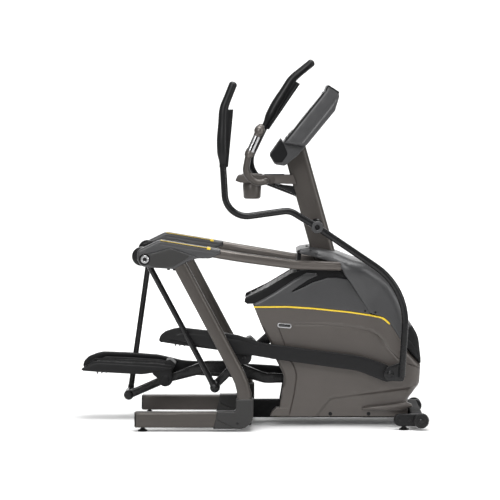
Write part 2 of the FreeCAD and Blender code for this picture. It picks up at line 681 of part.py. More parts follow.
def flywheel():
    """Flywheel with its belt pinion and shaft, and the magnet shoe over its rim."""
    rim, pinion, half = size("flywheel_radius"), size("pinion_radius"), size("belt_half")
    shaft = size("flywheel_shaft")
    profile = [(0, -49), (shaft, -49), (shaft, -half), (pinion, -half), (pinion, half), (24, half),
               (24, 14), (rim - 20, 14), (rim, 12), (rim, 34), (rim - 20, 32), (24, 32), (24, 37),
               (shaft, 37), (shaft, 49), (0, 49)]
    keep(turned("flywheel", profile, "Y", ("flywheel_x", 0, "flywheel_z")))
    shoe = rod_across("shoe_sector", f"{rim + 14}", "flywheel_x", "flywheel_z", 9.5, 40)
    shoe.Angle = 60
    disc = rod_across("shoe_disc_space", f"{rim + 2}", "flywheel_x", "flywheel_z", 11, 36)
    middle = rod_across("shoe_middle_space", f"{rim - 32}", "flywheel_x", "flywheel_z", 0, 50)
    magnet = cut_away("brake_magnet", shoe, [disc, middle])
    pivot = V(size("flywheel_x"), 0, size("flywheel_z"))
    magnet.Placement = FreeCAD.Placement(V(0, 0, 0), FreeCAD.Rotation(SWING_AXIS, 150), pivot)
    keep(magnet)


def drive_belt():
    """Flat belt around pulley and pinion: two arcs and two tangent runs."""
    large = V(size("crank_x"), 0, size("crank_z"))
    small = V(size("flywheel_x"), 0, size("flywheel_z"))
    gap = 0.3

    def around(centre, radius, first, middle, last):
        """An arc about a wheel's centre through three headings."""
        return Part.Arc(*[centre + polar(radius, angle) for angle in (first, middle, last)]).toShape()

    def loop(extra):
        """The closed line around both wheels at a given distance outside their rims."""
        big, little = size("pulley_radius") + extra, size("pinion_radius") + extra
        line = small - large
        lean = math.degrees(math.acos((big - little) / line.Length))
        turn = heading(line)
        up, down = turn + lean, turn - lean
        edges = [
            Part.makeLine(large + polar(big, up), small + polar(little, up)),
            around(small, little, up, turn, down),
            Part.makeLine(small + polar(little, down), large + polar(big, down)),
            around(large, big, down, turn + 180, up),
        ]
        return Part.Face(Part.Wire(edges))

    item = doc.addObject("Part::Feature", "drive_belt")
    ring = loop(gap + size("belt_thick")).cut(loop(gap))
    width = size("belt_half") * 2 - 2
    item.Shape = ring.extrude(V(0, width, 0))
    item.Placement.Base.y = -width / 2
    item.Label = "drive_belt"
    keep(item)


# ---------------------------------------------------------------- moving linkage


def suspension_rod(side):
    """Straight hanging rod with an eye at each end."""
    name = SIDE_NAMES[side]
    pose = LINKAGE[side]
    length = size("rod_length")
    low, high = span("rod_inner", "rod_outer", side)
    bar = doc.addObject("Part::Cylinder", f"{name}_rod_bar")
    bar.Radius = 13
    bind(bar, "Height", "rod_length - 30")
    bar.Placement.Base = V(0, side * (size("rod_inner") + size("rod_outer")) / 2, -length + 15)
    top = rod_across(f"{name}_rod_top_eye", "24", 0, 0, low, high)
    foot = rod_across(f"{name}_rod_foot_eye", "22", 0, -length, low, high)
    bores = [rod_across(f"{name}_rod_top_bore", "rod_pin + running_gap", 0, 0, -300, 300),
             rod_across(f"{name}_rod_foot_bore", "pin + running_gap", 0, -length, -300, 300)]
    rod = cut_away(f"{name}_suspension_rod", joined(f"{name}_rod_body", [bar, top, foot]), bores)
    keep(swing(rod, pose["rod_top"], pose["rod_angle"]))


def support_arm(side):
    """Bent bar from the rod's foot past the pedal hub to the crank pin, with its cross pins."""
    name = SIDE_NAMES[side]
    pose = LINKAGE[side]
    hub = polar(size("lever_length"), size("lever_bend"))
    reach = size("support_length")
    across = V(-math.sin(math.radians(size("lever_bend"))), 0, math.cos(math.radians(size("lever_bend"))))
    half = 19
    foot_low, foot_high = V(0, 0, 0) - across * half, across * half
    outline = [(foot_low.x, foot_low.z), (hub.x + 4, hub.z - half - 2), (reach, -half), (reach, half),
               (hub.x - 2, hub.z + half), (foot_high.x, foot_high.z)]
    bar = prism(f"{name}_support_bar", outline, "support_inner", "support_outer", side)
    parts = [
        bar,
        rod_across(f"{name}_support_foot", "foot_boss", 0, 0, *span("support_inner", "rod_inner - 2", side)),
        rod_across(f"{name}_rod_foot_pin", "pin", 0, 0, *span("rod_inner - 4", "rod_outer + 4", side)),
        rod_across(f"{name}_hub_boss", "hub_boss", hub.x, hub.z,
                   *span("support_inner - 1", "support_outer + 1", side)),
        rod_across(f"{name}_hub_pin", "pin", hub.x, hub.z, *span("pedal_inner + 2", "link_inner - 2", side)),
        rod_across(f"{name}_crank_eye", "crank_eye", reach, 0,
                   *span("support_inner - 2", "support_outer + 2", side)),
    ]
    bore = rod_across(f"{name}_crank_eye_bore", "crank_pin + 0.5", reach, 0, -300, 300)
    arm = cut_away(f"{name}_support_arm", joined(f"{name}_support_body", parts), [bore])
    keep(swing(arm, pose["rod_foot"], pose["support_angle"]))


LINK_TOP = [(-335, 120), (-300, 145), (-170, 131), (-33, 110), (32, 90), (83, 72), (560, 9), (672, -30)]
PEDAL_OUTLINE = [(-408, 82), (-396, 73), (-300, 58), (-110, 33), (-40, 38), (36, 44), (40, 66), (-42, 82),
                 (-317, 116), (-345, 116)]
RECESS_OUTLINE = [(-330, 103), (-310, 105), (-42, 71), (24, 58), (24, 140), (-330, 140)]
TREAD_OUTLINE = [(-329, 103.3), (-310, 105.3), (-42, 71.3), (23, 58.4), (23, 66), (-42, 79), (-310, 113),
                 (-329, 111)]


def pedal(side):
    """Foot plate with a ribbed tread, rigid on the link that runs forwards to the handlebar."""
    name = SIDE_NAMES[side]
    pose = LINKAGE[side]
    eye = (LINK_EYE.x, LINK_EYE.z)
    outline = LINK_TOP + [(eye[0] + 40, -62), (eye[0] + 30, -106), (eye[0] - 18, -114), (538, -60),
                          (149, -7), (40, 12), (-70, 24), (-300, 84)]
    plate = prism(f"{name}_link_plate", outline, "link_inner", "link_outer", side)
    boss = rod_across(f"{name}_link_boss", "link_boss", eye[0], eye[1],
                      *span("link_outer - 6", "link_outer + 4", side))
    bore = rod_across(f"{name}_link_bore", "rod_pin", eye[0], eye[1], -300, 300)
    link = cut_away(f"{name}_pedal_link", joined(f"{name}_link_body", [plate, boss]), [bore])
    block_body = prism(f"{name}_pedal_block", PEDAL_OUTLINE, "pedal_inner", "link_inner", side)
    recess = prism(f"{name}_pedal_recess", RECESS_OUTLINE, "pedal_inner + 7", "link_inner - 7", side)
    lug_outline = [(-58, 34), (-30, -4), (-16, -26), (16, -26), (30, -4), (34, 45)]
    lugs = [prism(f"{name}_inner_lug", lug_outline, "pedal_inner + 4", "support_inner - 5", side),
            prism(f"{name}_outer_lug", lug_outline, "support_outer + 6", "link_inner - 8", side)]
    hub_bore = rod_across(f"{name}_pedal_bore", "pin + running_gap", 0, 0, -300, 300)
    tray = cut_away(f"{name}_pedal", joined(f"{name}_pedal_body", [block_body] + lugs), [recess, hub_bore])
    tread = prism(f"{name}_tread_slab", TREAD_OUTLINE, "pedal_inner + 7.5", "link_inner - 7.5", side)
    tread.Label = f"{name}_pedal_tread"
    for item in (link, tray, tread):
        keep(swing(item, pose["hub"], LINK_TILT[side]))


HANDLE_UPPER = [(-18, 10.8), (-131, 79), (-430, 37), (-446, 300), (-449, 400), (-443, 566)]
HANDLE_LOWER = [(18, -12.2), (428, -289), (402, -712)]
GRIP_LINE = [(-444.5, 300), (-449, 400), (-443, 560), (-398, 672)]


def moving_handle(side):
    """Swinging handlebar: hub sleeve, bent upper and lower tubes and the plate for the link's bolt."""
    name = SIDE_NAMES[side]
    pose = LINKAGE[side]
    plane = side * size("handle_plane")
    upper = rounded_wire(side_points(HANDLE_UPPER, plane), radii=[80, 105, 400, 700])
    lower = rounded_wire(side_points(HANDLE_LOWER, plane), radii=[320])
    outer = [swept(f"{name}_upper_outside", upper, "handle_tube / 2"),
             swept(f"{name}_lower_outside", lower, "handle_tube / 2")]
    inner = [swept(f"{name}_upper_inside", upper, "handle_tube / 2 - handle_wall"),
             swept(f"{name}_lower_inside", lower, "handle_tube / 2 - handle_wall")]
    tubes = cut_away(f"{name}_handle_tubes", joined(f"{name}_handle_bars", outer), inner)
    hub = rod_across(f"{name}_handle_hub", "handle_hub", 0, 0,
                     *span("handle_plane - 21", "handle_plane + 21", side))
    ex, ez = HANDLE_EYE.x, HANDLE_EYE.z
    outline = [(ex - 20, ez - 32), (414, ez - 36), (414, ez + 56), (396, ez + 56), (ex - 20, ez + 32),
               (ex - 36, ez)]
    plate = prism(f"{name}_handle_plate", outline, "handle_plane - 24", "handle_plane - 15", side)
    bolt = rod_across(f"{name}_link_bolt", "link_bolt", ex, ez,
                      *span("handle_plane - 20", "handle_plane + 2", side))
    bore = rod_across(f"{name}_hub_bore", "pin + running_gap", 0, 0, -400, 400)
    whole = joined(f"{name}_handle_body", [tubes, hub, plate, bolt])
    handle = cut_away(f"{name}_moving_handle", whole, [bore])
    grip_wire = rounded_wire(side_points(GRIP_LINE, plane), radii=[400, 160])
    grip = swept(f"{name}_grip_outside", grip_wire, "grip_tube / 2")
    space = swept(f"{name}_grip_space", upper, "handle_tube / 2")
    foam = cut_away(f"{name}_handle_grip", grip, [space])
    for item in (handle, foam):
        keep(swing(item, pose["handle"], HANDLE_TILT[side]))


# ---------------------------------------------------------------- build, check and write


def build():
    """Make every piece."""
    for side in (RIGHT, LEFT):
        side_frame(side)
        elbow_cover(side)
        upper_tube(side)
        rear_cover(side)
        side_shell(side)
        suspension_rod(side)
        support_arm(side)
        pedal(side)
        moving_handle(side)
    accents = [prism(f"{SIDE_NAMES[s]}_accent", ACCENT_OUTLINE, "frame_outer - 20", "frame_outer + 4", s)
               for s in (RIGHT, LEFT)]
    keep(grouped("rear_cover_accents", accents))
    base()
    feet_and_wheels()
    mast()
    console()
    fixed_handlebar()
    tray_arm()
    hood()
    drive_frame()
    crank()
    flywheel()
    drive_belt()
    doc.recompute()


def check_and_write():
    """Stop on any failed object or bad shape, then write one file for each node."""
    failed = [item.Label for item in doc.Objects if {"Invalid", "Error"} & set(item.State)]
    bad = [item.Label for item in NODES
           if item.Shape.isNull() or not item.Shape.isValid() or not item.Shape.Solids]
    if failed or bad:
        raise RuntimeError(f"failed objects {failed}, bad shapes {bad}")
    os.makedirs("parts", exist_ok=True)
    labels = [item.Label for item in NODES]
    if len(set(labels)) != len(labels):
        raise RuntimeError("two nodes share a name")
    for item in NODES:
        item.Shape.exportStep(f"parts/{item.Label}.step")
        box = item.Shape.BoundBox
        print(f"{item.Label}: {len(item.Shape.Solids)} solids, x {box.XMin:.0f}..{box.XMax:.0f}, "
              f"y {box.YMin:.0f}..{box.YMax:.0f}, z {box.ZMin:.0f}..{box.ZMax:.0f}, "
              f"volume {item.Shape.Volume / 1e3:.0f} cm3")
    print(f"{len(NODES)} nodes")


build()
check_and_write()
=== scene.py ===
"""Looks of the elliptical trainer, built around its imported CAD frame.

+X is forwards, +Y is the left-hand side and +Z is up, as in the CAD frame. Shapes are given in mm, which
Shape.piece turns into metres; the camera and the studio are in metres.
"""
import json
import math

import bmesh
import bpy
import numpy as np
from mathutils import Matrix, Vector
from mathutils.geometry import delaunay_2d_cdt


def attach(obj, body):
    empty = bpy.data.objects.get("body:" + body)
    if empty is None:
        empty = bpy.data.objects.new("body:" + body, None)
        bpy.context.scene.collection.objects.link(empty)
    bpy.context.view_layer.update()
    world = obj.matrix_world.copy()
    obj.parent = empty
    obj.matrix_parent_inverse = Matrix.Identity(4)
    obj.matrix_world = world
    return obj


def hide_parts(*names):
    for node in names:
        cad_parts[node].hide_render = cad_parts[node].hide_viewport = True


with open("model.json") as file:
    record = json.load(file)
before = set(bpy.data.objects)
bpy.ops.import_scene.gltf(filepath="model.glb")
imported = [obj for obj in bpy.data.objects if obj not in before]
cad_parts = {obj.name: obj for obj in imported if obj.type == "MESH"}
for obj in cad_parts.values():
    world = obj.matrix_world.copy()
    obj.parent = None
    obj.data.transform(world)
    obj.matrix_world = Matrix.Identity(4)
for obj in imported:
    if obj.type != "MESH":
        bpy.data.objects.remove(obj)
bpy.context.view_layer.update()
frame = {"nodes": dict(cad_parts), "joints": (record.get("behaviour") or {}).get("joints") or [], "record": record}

RIGHT, LEFT = -1, 1
NAMES = {RIGHT: "right", LEFT: "left"}
MM = 0.001
ROW_STEP = 6.0                              # spacing of the points along a groove or a terrace's edge
RIM_STEPS = (0.03, 0.13, 0.3, 0.55, 1.0)    # where the rows of points lie over a rounded rim
RIM_CLEARANCE, GRID_CLEARANCE, CLOSEST = 0.85, 0.3, 0.12
STRAIGHT, LONGEST_TANGENT = 0.02, 0.48      # smallest bend, and the share of an edge that an arc may use
SHELL_WALL, SHORT_WALL = 4, 10
DOUBLE, DOME_STEPS, SHARP_ANGLE = 0.02, 5, math.radians(35)


# ---------------------------------------------------------------- materials


FINISHES = {
    # name: colour, worn colour, roughness, and what differs from the usual finish
    "bronze_paint": ((0.062, 0.055, 0.050), (0.15, 0.14, 0.12), 0.38,
                     dict(metallic=0.4, grain=1400, coat=0.08, shine=0.35)),
    "bronze_tube": ((0.095, 0.085, 0.078), (0.18, 0.16, 0.15), 0.34,
                    dict(metallic=0.6, grain=1400, grain_strength=0.03, wear=0.03, coat=0.1, shine=0.3)),
    "bronze_panel": ((0.074, 0.065, 0.059), (0.13, 0.12, 0.11), 0.40, dict(metallic=0.3, grain=1100, coat=0.08)),
    "slate_plastic": ((0.034, 0.034, 0.0355), (0.09, 0.09, 0.10), 0.40, dict(grain=1000, coat=0.08, shine=0.45)),
    "elbow_plastic": ((0.019, 0.0185, 0.018), (0.08, 0.08, 0.08), 0.45, dict(shine=0.4)),
    "black_steel": ((0.006, 0.006, 0.0065), (0.03, 0.03, 0.03), 0.24, dict(coat=0.08, shine=0.25)),
    "matt_steel": ((0.006, 0.006, 0.0065), (0.02, 0.02, 0.02), 0.62, dict(shine=0.1)),
    "black_plastic": ((0.006, 0.006, 0.0065), (0.02, 0.02, 0.02), 0.38, dict(shine=0.16)),
    "charcoal_plastic": ((0.008, 0.008, 0.0085), (0.04, 0.04, 0.04), 0.42, dict(shine=0.2)),
    "screen_glass": ((0.004, 0.004, 0.005), (0.02, 0.02, 0.02), 0.12, dict(coat=0.6, grain_strength=0.02)),
    "grip_foam": ((0.006, 0.006, 0.0065), (0.02, 0.02, 0.02), 0.36,
                  dict(grain=700, grain_strength=0.35, grain_depth=0.0001, shine=0.25)),
    "tread_rubber": ((0.005, 0.005, 0.0052), (0.03, 0.03, 0.03), 0.6,
                     dict(grain=800, grain_strength=0.5, grain_depth=0.0001, shine=0.15)),
    "wheel_rubber": ((0.007, 0.007, 0.007), (0.03, 0.03, 0.03), 0.5, dict(shine=0.3)),
    "chrome_plate": ((0.46, 0.46, 0.47), (0.6, 0.6, 0.6), 0.28,
                     dict(metallic=1.0, grain_strength=0.03, variation=0.04)),
    "bright_steel": ((0.42, 0.42, 0.43), (0.6, 0.6, 0.6), 0.3, dict(metallic=1.0)),
    "cast_wheel": ((0.10, 0.10, 0.10), (0.2, 0.2, 0.2), 0.45, dict(metallic=0.8)),
    "yellow_accent": ((0.72, 0.50, 0.02), (0.9, 0.7, 0.2), 0.35, dict(coat=0.2, variation=0.03, wear=0.05)),
    "belt_rubber": ((0.01, 0.01, 0.01), (0.04, 0.04, 0.04), 0.6, {}),
}
TONE_SCALE, GLOSS_SCALE, CHIP_SCALE = 6.0, 22.0, 70.0      # noise cells to a metre
COAT_ROUGHNESS = 0.22


def shader(name):
    """A new node material, its tree and its Principled shader."""
    material = bpy.data.materials.new(name)
    material.use_nodes = True
    return material, material.node_tree, material.node_tree.nodes["Principled BSDF"]


def add_node(tree, kind, inputs, output=0, **settings):
    """A new node with its settings and inputs, each a plain value or another node's output."""
    node = tree.nodes.new(f"ShaderNode{kind}")
    for key, value in settings.items():
        setattr(node, key, value)
    for key, value in inputs.items():
        if isinstance(value, bpy.types.NodeSocket):
            tree.links.new(value, node.inputs[key])
        else:
            node.inputs[key].default_value = value
    return node.outputs[output]


def noise(tree, scale, detail=3.0):
    """A noise value from 0 to 1 over the piece, in cells per metre."""
    place = add_node(tree, "TexCoord", {}, "Object")
    place = add_node(tree, "Mapping", {"Scale": (scale, scale, scale), "Vector": place})
    return add_node(tree, "TexNoise", {"Scale": 1.0, "Detail": detail, "Roughness": 0.55, "Vector": place}, "Fac")


def between(tree, value, low, high, source=(0.3, 0.7)):
    """A value stretched from its source range to run from low to high."""
    return add_node(tree, "MapRange", {"From Min": source[0], "From Max": source[1], "To Min": low, "To Max": high,
                                       "Value": value})


def product(tree, first, second):
    """Two values multiplied."""
    return add_node(tree, "Math", {0: first, 1: second}, operation="MULTIPLY")


def mixed_colour(tree, value, first, second):
    """A colour that runs from first to second as value goes from 0 to 1."""
    first, second = [(*colour, 1) if isinstance(colour, tuple) else colour for colour in (first, second)]
    return add_node(tree, "Mix", {6: first, 7: second, 0: value}, 2, data_type="RGBA")


def finish_material(name, base, worn, rough, metallic=0.0, grain=900.0, grain_depth=0.00004,
                    grain_strength=0.25, wear=0.12, coat=0.0, variation=0.05, shine=0.5):
    """Paint, plastic or rubber: fine grain, slow tone changes, uneven gloss and rubbed edges."""
    material, tree, principled = shader(name)
    darker, lighter = [tuple(channel * (1 + change) for channel in base) for change in (-variation, variation)]
    body = mixed_colour(tree, between(tree, noise(tree, TONE_SCALE), 0.0, 1.0), darker, lighter)
    edges = between(tree, add_node(tree, "NewGeometry", {}, "Pointiness"), 0.0, 1.0, (0.515, 0.60))
    chips = between(tree, noise(tree, CHIP_SCALE), 0.0, 1.0, (0.42, 0.62))
    rubbed = product(tree, product(tree, edges, chips), wear)
    gloss = between(tree, noise(tree, GLOSS_SCALE), rough - 0.05, rough + 0.06)
    relief = add_node(tree, "Bump", {"Strength": grain_strength, "Distance": grain_depth,
                                     "Height": noise(tree, grain, 2.0)})
    for key, value in (("Base Color", mixed_colour(tree, rubbed, body, worn)), ("Roughness", gloss),
                       ("Normal", relief)):
        tree.links.new(value, principled.inputs[key])
    for key, value in (("Metallic", metallic), ("Coat Weight", coat), ("Specular IOR Level", shine),
                       ("Coat Roughness", COAT_ROUGHNESS)):
        principled.inputs[key].default_value = value
    return material


MATERIALS = {name: finish_material(name, *values, **others) for name, (*values, others) in FINISHES.items()}


def paint_cad_nodes():
    """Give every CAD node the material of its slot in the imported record."""
    for row in frame["record"]["subparts"]:
        mesh = frame["nodes"][row["node"]].data
        mesh.materials.clear()
        mesh.materials.append(MATERIALS[row["material_slot"]])


paint_cad_nodes()

# ---------------------------------------------------------------- outlines and moulded faces


def flat(corner):
    """The (x, z) of a corner as an array."""
    return np.array(corner[:2], float)


def rounded(corners, radius=0.0, closed=True, turn_step=10.0):
    """An outline in mm with arcs at its corners; a corner is (x, z) or (x, z, its own radius)."""
    points = []
    count = len(corners)
    for index, corner in enumerate(corners):
        here = flat(corner)
        reach = corner[2] if len(corner) > 2 else radius
        if not closed and index in (0, count - 1):
            points.append(here)
            continue
        before, after = flat(corners[index - 1]) - here, flat(corners[(index + 1) % count]) - here
        lengths = [np.linalg.norm(before), np.linalg.norm(after)]
        before, after = before / lengths[0], after / lengths[1]
        angle = math.acos(max(-1.0, min(1.0, float(before @ after))))
        if reach <= 0 or math.pi - angle < STRAIGHT:
            points.append(here)
            continue
        tangent = min(reach / math.tan(angle / 2), LONGEST_TANGENT * min(lengths))
        reach = tangent * math.tan(angle / 2)
        bisector = (before + after) / np.linalg.norm(before + after)
        centre = here + bisector * (reach / math.sin(angle / 2))
        first, last = here + before * tangent - centre, here + after * tangent - centre
        way = 1.0 if first[0] * last[1] - first[1] * last[0] > 0 else -1.0
        sweep = math.pi - angle
        steps = max(2, math.ceil(math.degrees(sweep) / turn_step))
        for step in range(steps + 1):
            turn = way * sweep * step / steps
            cos, sin = math.cos(turn), math.sin(turn)
            points.append(centre + np.array([first[0] * cos - first[1] * sin, first[0] * sin + first[1] * cos]))
    return np.array(points)


def divided(points, spacing, closed=True):
    """The same outline with its long edges cut into equal lengths no longer than the spacing."""
    made = []
    for index in range(len(points) if closed else len(points) - 1):
        a, b = points[index], points[(index + 1) % len(points)]
        cuts = max(1, math.ceil(np.linalg.norm(b - a) / spacing))
        made.extend(a + (b - a) * cut / cuts for cut in range(cuts))
    if not closed:
        made.append(points[-1])
    return np.array(made)


def nearest(points, line, closed=True):
    """For each point: its distance to a line of corners, and the nearest place on that line."""
    starts = line if closed else line[:-1]
    ends = np.roll(line, -1, axis=0) if closed else line[1:]
    best = np.full(len(points), np.inf)
    place = np.zeros((len(points), 2))
    for a, b in zip(starts, ends):
        along = b - a
        share = np.clip((points - a) @ along / max(along @ along, 1e-9), 0, 1)
        spot = a + share[:, None] * along
        distance = np.linalg.norm(points - spot, axis=1)
        closer = distance < best
        best[closer] = distance[closer]
        place[closer] = spot[closer]
    return best, place


def near_line(place, corners, reach):
    """Which places lie on a line of corners, within a reach."""
    return nearest(np.atleast_2d(place), np.array([flat(corner) for corner in corners]), closed=False)[0] < reach


def inside(points, outline):
    """Which points lie inside a closed outline."""
    result = np.zeros(len(points), bool)
    x, z = points[:, 0], points[:, 1]
    for (ax, az), (bx, bz) in zip(outline, np.roll(outline, -1, axis=0)):
        if az != bz:
            result ^= ((az > z) != (bz > z)) & (x < (bx - ax) * (z - az) / (bz - az) + ax)
    return result


def smooth(value):
    """An S-curve from 0 to 1."""
    value = np.clip(value, 0, 1)
    return value * value * (3 - 2 * value)


def offset_rows(line, offsets):
    """Points along a line, repeated at distances to both sides of it."""
    points = divided(line, ROW_STEP, closed=False)
    along = np.gradient(points, axis=0)
    along /= np.linalg.norm(along, axis=1)[:, None]
    across = np.stack([-along[:, 1], along[:, 0]], axis=1)
    return [points + across * offset for offset in offsets]


class Groove:
    """A panel line: a narrow channel along a line."""

    def __init__(self, corners, width, depth, radius):
        self.line = rounded(corners, radius, closed=False)
        self.width, self.depth = width, depth

    def distance(self, points):
        return nearest(points, self.line, closed=False)[0]

    def lift(self, points):
        return -self.depth * (1 - smooth(self.distance(points) / self.width))

    def rows(self):
        return offset_rows(self.line, [share * self.width for share in (-1, -0.5, 0, 0.5, 1)])

    def clear_of(self, points):
        return self.distance(points) > self.width + 0.5 * ROW_STEP


class Terrace:
    """A region set in, with a soft slope around it."""

    def __init__(self, corners, depth, slope, radius):
        self.outline = rounded(corners, radius)
        self.depth, self.slope = depth, slope

    def lift(self, points):
        distance = nearest(points, self.outline)[0]
        signed = np.where(inside(points, self.outline), distance, -distance)
        return -self.depth * smooth(0.5 + signed / self.slope)

    def rows(self):
        line = np.vstack([self.outline, self.outline[:1]])
        return offset_rows(line, [share * self.slope for share in (-0.5, -0.2, 0.2, 0.5)])

    def clear_of(self, points):
        return nearest(points, self.outline)[0] > 0.5 * (self.slope + ROW_STEP)


class Swell:
    """A broad soft bulge about a point."""

    def __init__(self, centre, reach, height):
        self.centre = np.array(centre, float)
        self.reach, self.height = reach, height

    def lift(self, points):
        return self.height * (1 - smooth(np.linalg.norm(points - self.centre, axis=1) / self.reach))

    def rows(self):
        return []

    def clear_of(self, points):
        return np.full(len(points), True)


def face_mesh(outline, rim, features, spacing):
    """Triangles over an outline, dense along its rim and features.

    rim is the rounding in mm, or a function that gives it for places on the edge. Returns the points, their
    height below or above the face, the triangles and the indexes of the edge loop.
    """
    edge = divided(outline, spacing)
    rim_width = rim if callable(rim) else (lambda place: np.full(len(place), float(rim)))
    along = np.roll(edge, -1, axis=0) - np.roll(edge, 1, axis=0)
    normal = np.stack([-along[:, 1], along[:, 0]], axis=1)
    normal /= np.linalg.norm(normal, axis=1)[:, None]
    if not inside(edge[:1] + 0.01 * normal[:1], edge)[0]:
        normal = -normal
    widths = rim_width(edge)
    samples = []
    for share in RIM_STEPS:
        ring = edge + normal * (widths * share)[:, None]
        clear = nearest(ring, edge)[0] > RIM_CLEARANCE * widths * share
        samples.append(ring[clear & inside(ring, edge)])
    for feature in features:
        samples.extend(feature.rows())
    low, high = edge.min(axis=0), edge.max(axis=0)
    across, up = [np.arange(low[axis] + spacing / 2, high[axis], spacing) for axis in (0, 1)]
    grid = np.array([(x + (spacing / 2) * (row % 2), z) for row, z in enumerate(up) for x in across])
    if len(grid):
        distance, place = nearest(grid, edge)
        kept = inside(grid, edge) & (distance > rim_width(place) + GRID_CLEARANCE * spacing)
        for feature in features:
            kept &= feature.clear_of(grid)
        samples.append(grid[kept])
    inner = np.vstack([rows for rows in samples if len(rows)])
    inner = inner[inside(inner, edge) & (nearest(inner, edge)[0] > CLOSEST)]
    coords = [Vector(point) for point in np.vstack([edge, inner])]
    made = delaunay_2d_cdt(coords, [], [list(range(len(edge)))], 1, 1e-3)
    points = np.array([tuple(vertex) for vertex in made[0]])
    loop = [-1] * len(edge)
    for index, sources in enumerate(made[3]):
        for source in sources:
            if source < len(edge):
                loop[source] = index
    distance, place = nearest(points, edge)
    width = rim_width(place)
    share = np.clip(1 - distance / np.maximum(width, 1e-6), 0, 1)
    height = -width * (1 - np.sqrt(1 - share ** 2))
    for feature in features:
        height = height + feature.lift(points)
    return points, height, made[2], loop


# ---------------------------------------------------------------- lines and sections


def circle(sides=32):
    """A round section, as unit (across, up) pairs."""
    return [(math.cos(2 * math.pi * n / sides), math.sin(2 * math.pi * n / sides)) for n in range(sides)]


def box(wide, tall):
    """The corners of a rectangle about (0, 0), as half its width and half its height."""
    return [(-wide, -tall), (wide, -tall), (wide, tall), (-wide, tall)]


def bar_section(wide, tall, radius):
    """A rounded rectangle, as (across, up) pairs."""
    return rounded(box(wide / 2, tall / 2), radius, turn_step=15)


def disc(radius, low, high):
    """The turning profile of a plain disc or pin."""
    return [(0, low), (radius, low), (radius, high), (0, high)]


def bent(points, radii, turn_step=6.0):
    """A line through 3-D points with a round bend at each inner one."""
    made = [Vector(points[0])]
    for index in range(1, len(points) - 1):
        here = Vector(points[index])
        before, after = Vector(points[index - 1]) - here, Vector(points[index + 1]) - here
        half = before.angle(after) / 2
        radius = radii[index - 1] if hasattr(radii, "__len__") else radii
        longest = LONGEST_TANGENT * min(before.length, after.length)
        before.normalize()
        after.normalize()
        tangent = min(radius / math.tan(half), longest)
        reach = tangent * math.tan(half)
        centre = here + (before + after).normalized() * (reach / math.sin(half))
        first, last = here + before * tangent - centre, here + after * tangent - centre
        steps = max(3, math.ceil(math.degrees(math.pi - 2 * half) / turn_step))
        for step in range(steps + 1):
            made.append(centre + first.slerp(last, step / steps).normalized() * reach)
    return made + [Vector(points[-1])]


# ---------------------------------------------------------------- pieces


RECORD = frame["record"]
SLOT_OF = {row["node"]: row["material_slot"] for row in RECORD["subparts"]}
BODY_OF = {node: body for body, nodes in RECORD["behaviour"]["bodies"].items() for node in nodes}
PIVOT = {joint["name"]: Vector(joint["pos_m"]) / MM for joint in frame["joints"] if "pos_m" in joint}


def new_object(name, data):
    """A new object in the scene."""
    made = bpy.data.objects.new(name, data)
    bpy.context.scene.collection.objects.link(made)
    return made


def smooth_mesh(name, bm):
    """A smooth-shaded mesh from a finished bmesh."""
    mesh = bpy.data.meshes.new(name)
    bm.to_mesh(mesh)
    bm.free()
    mesh.shade_smooth()
    return mesh


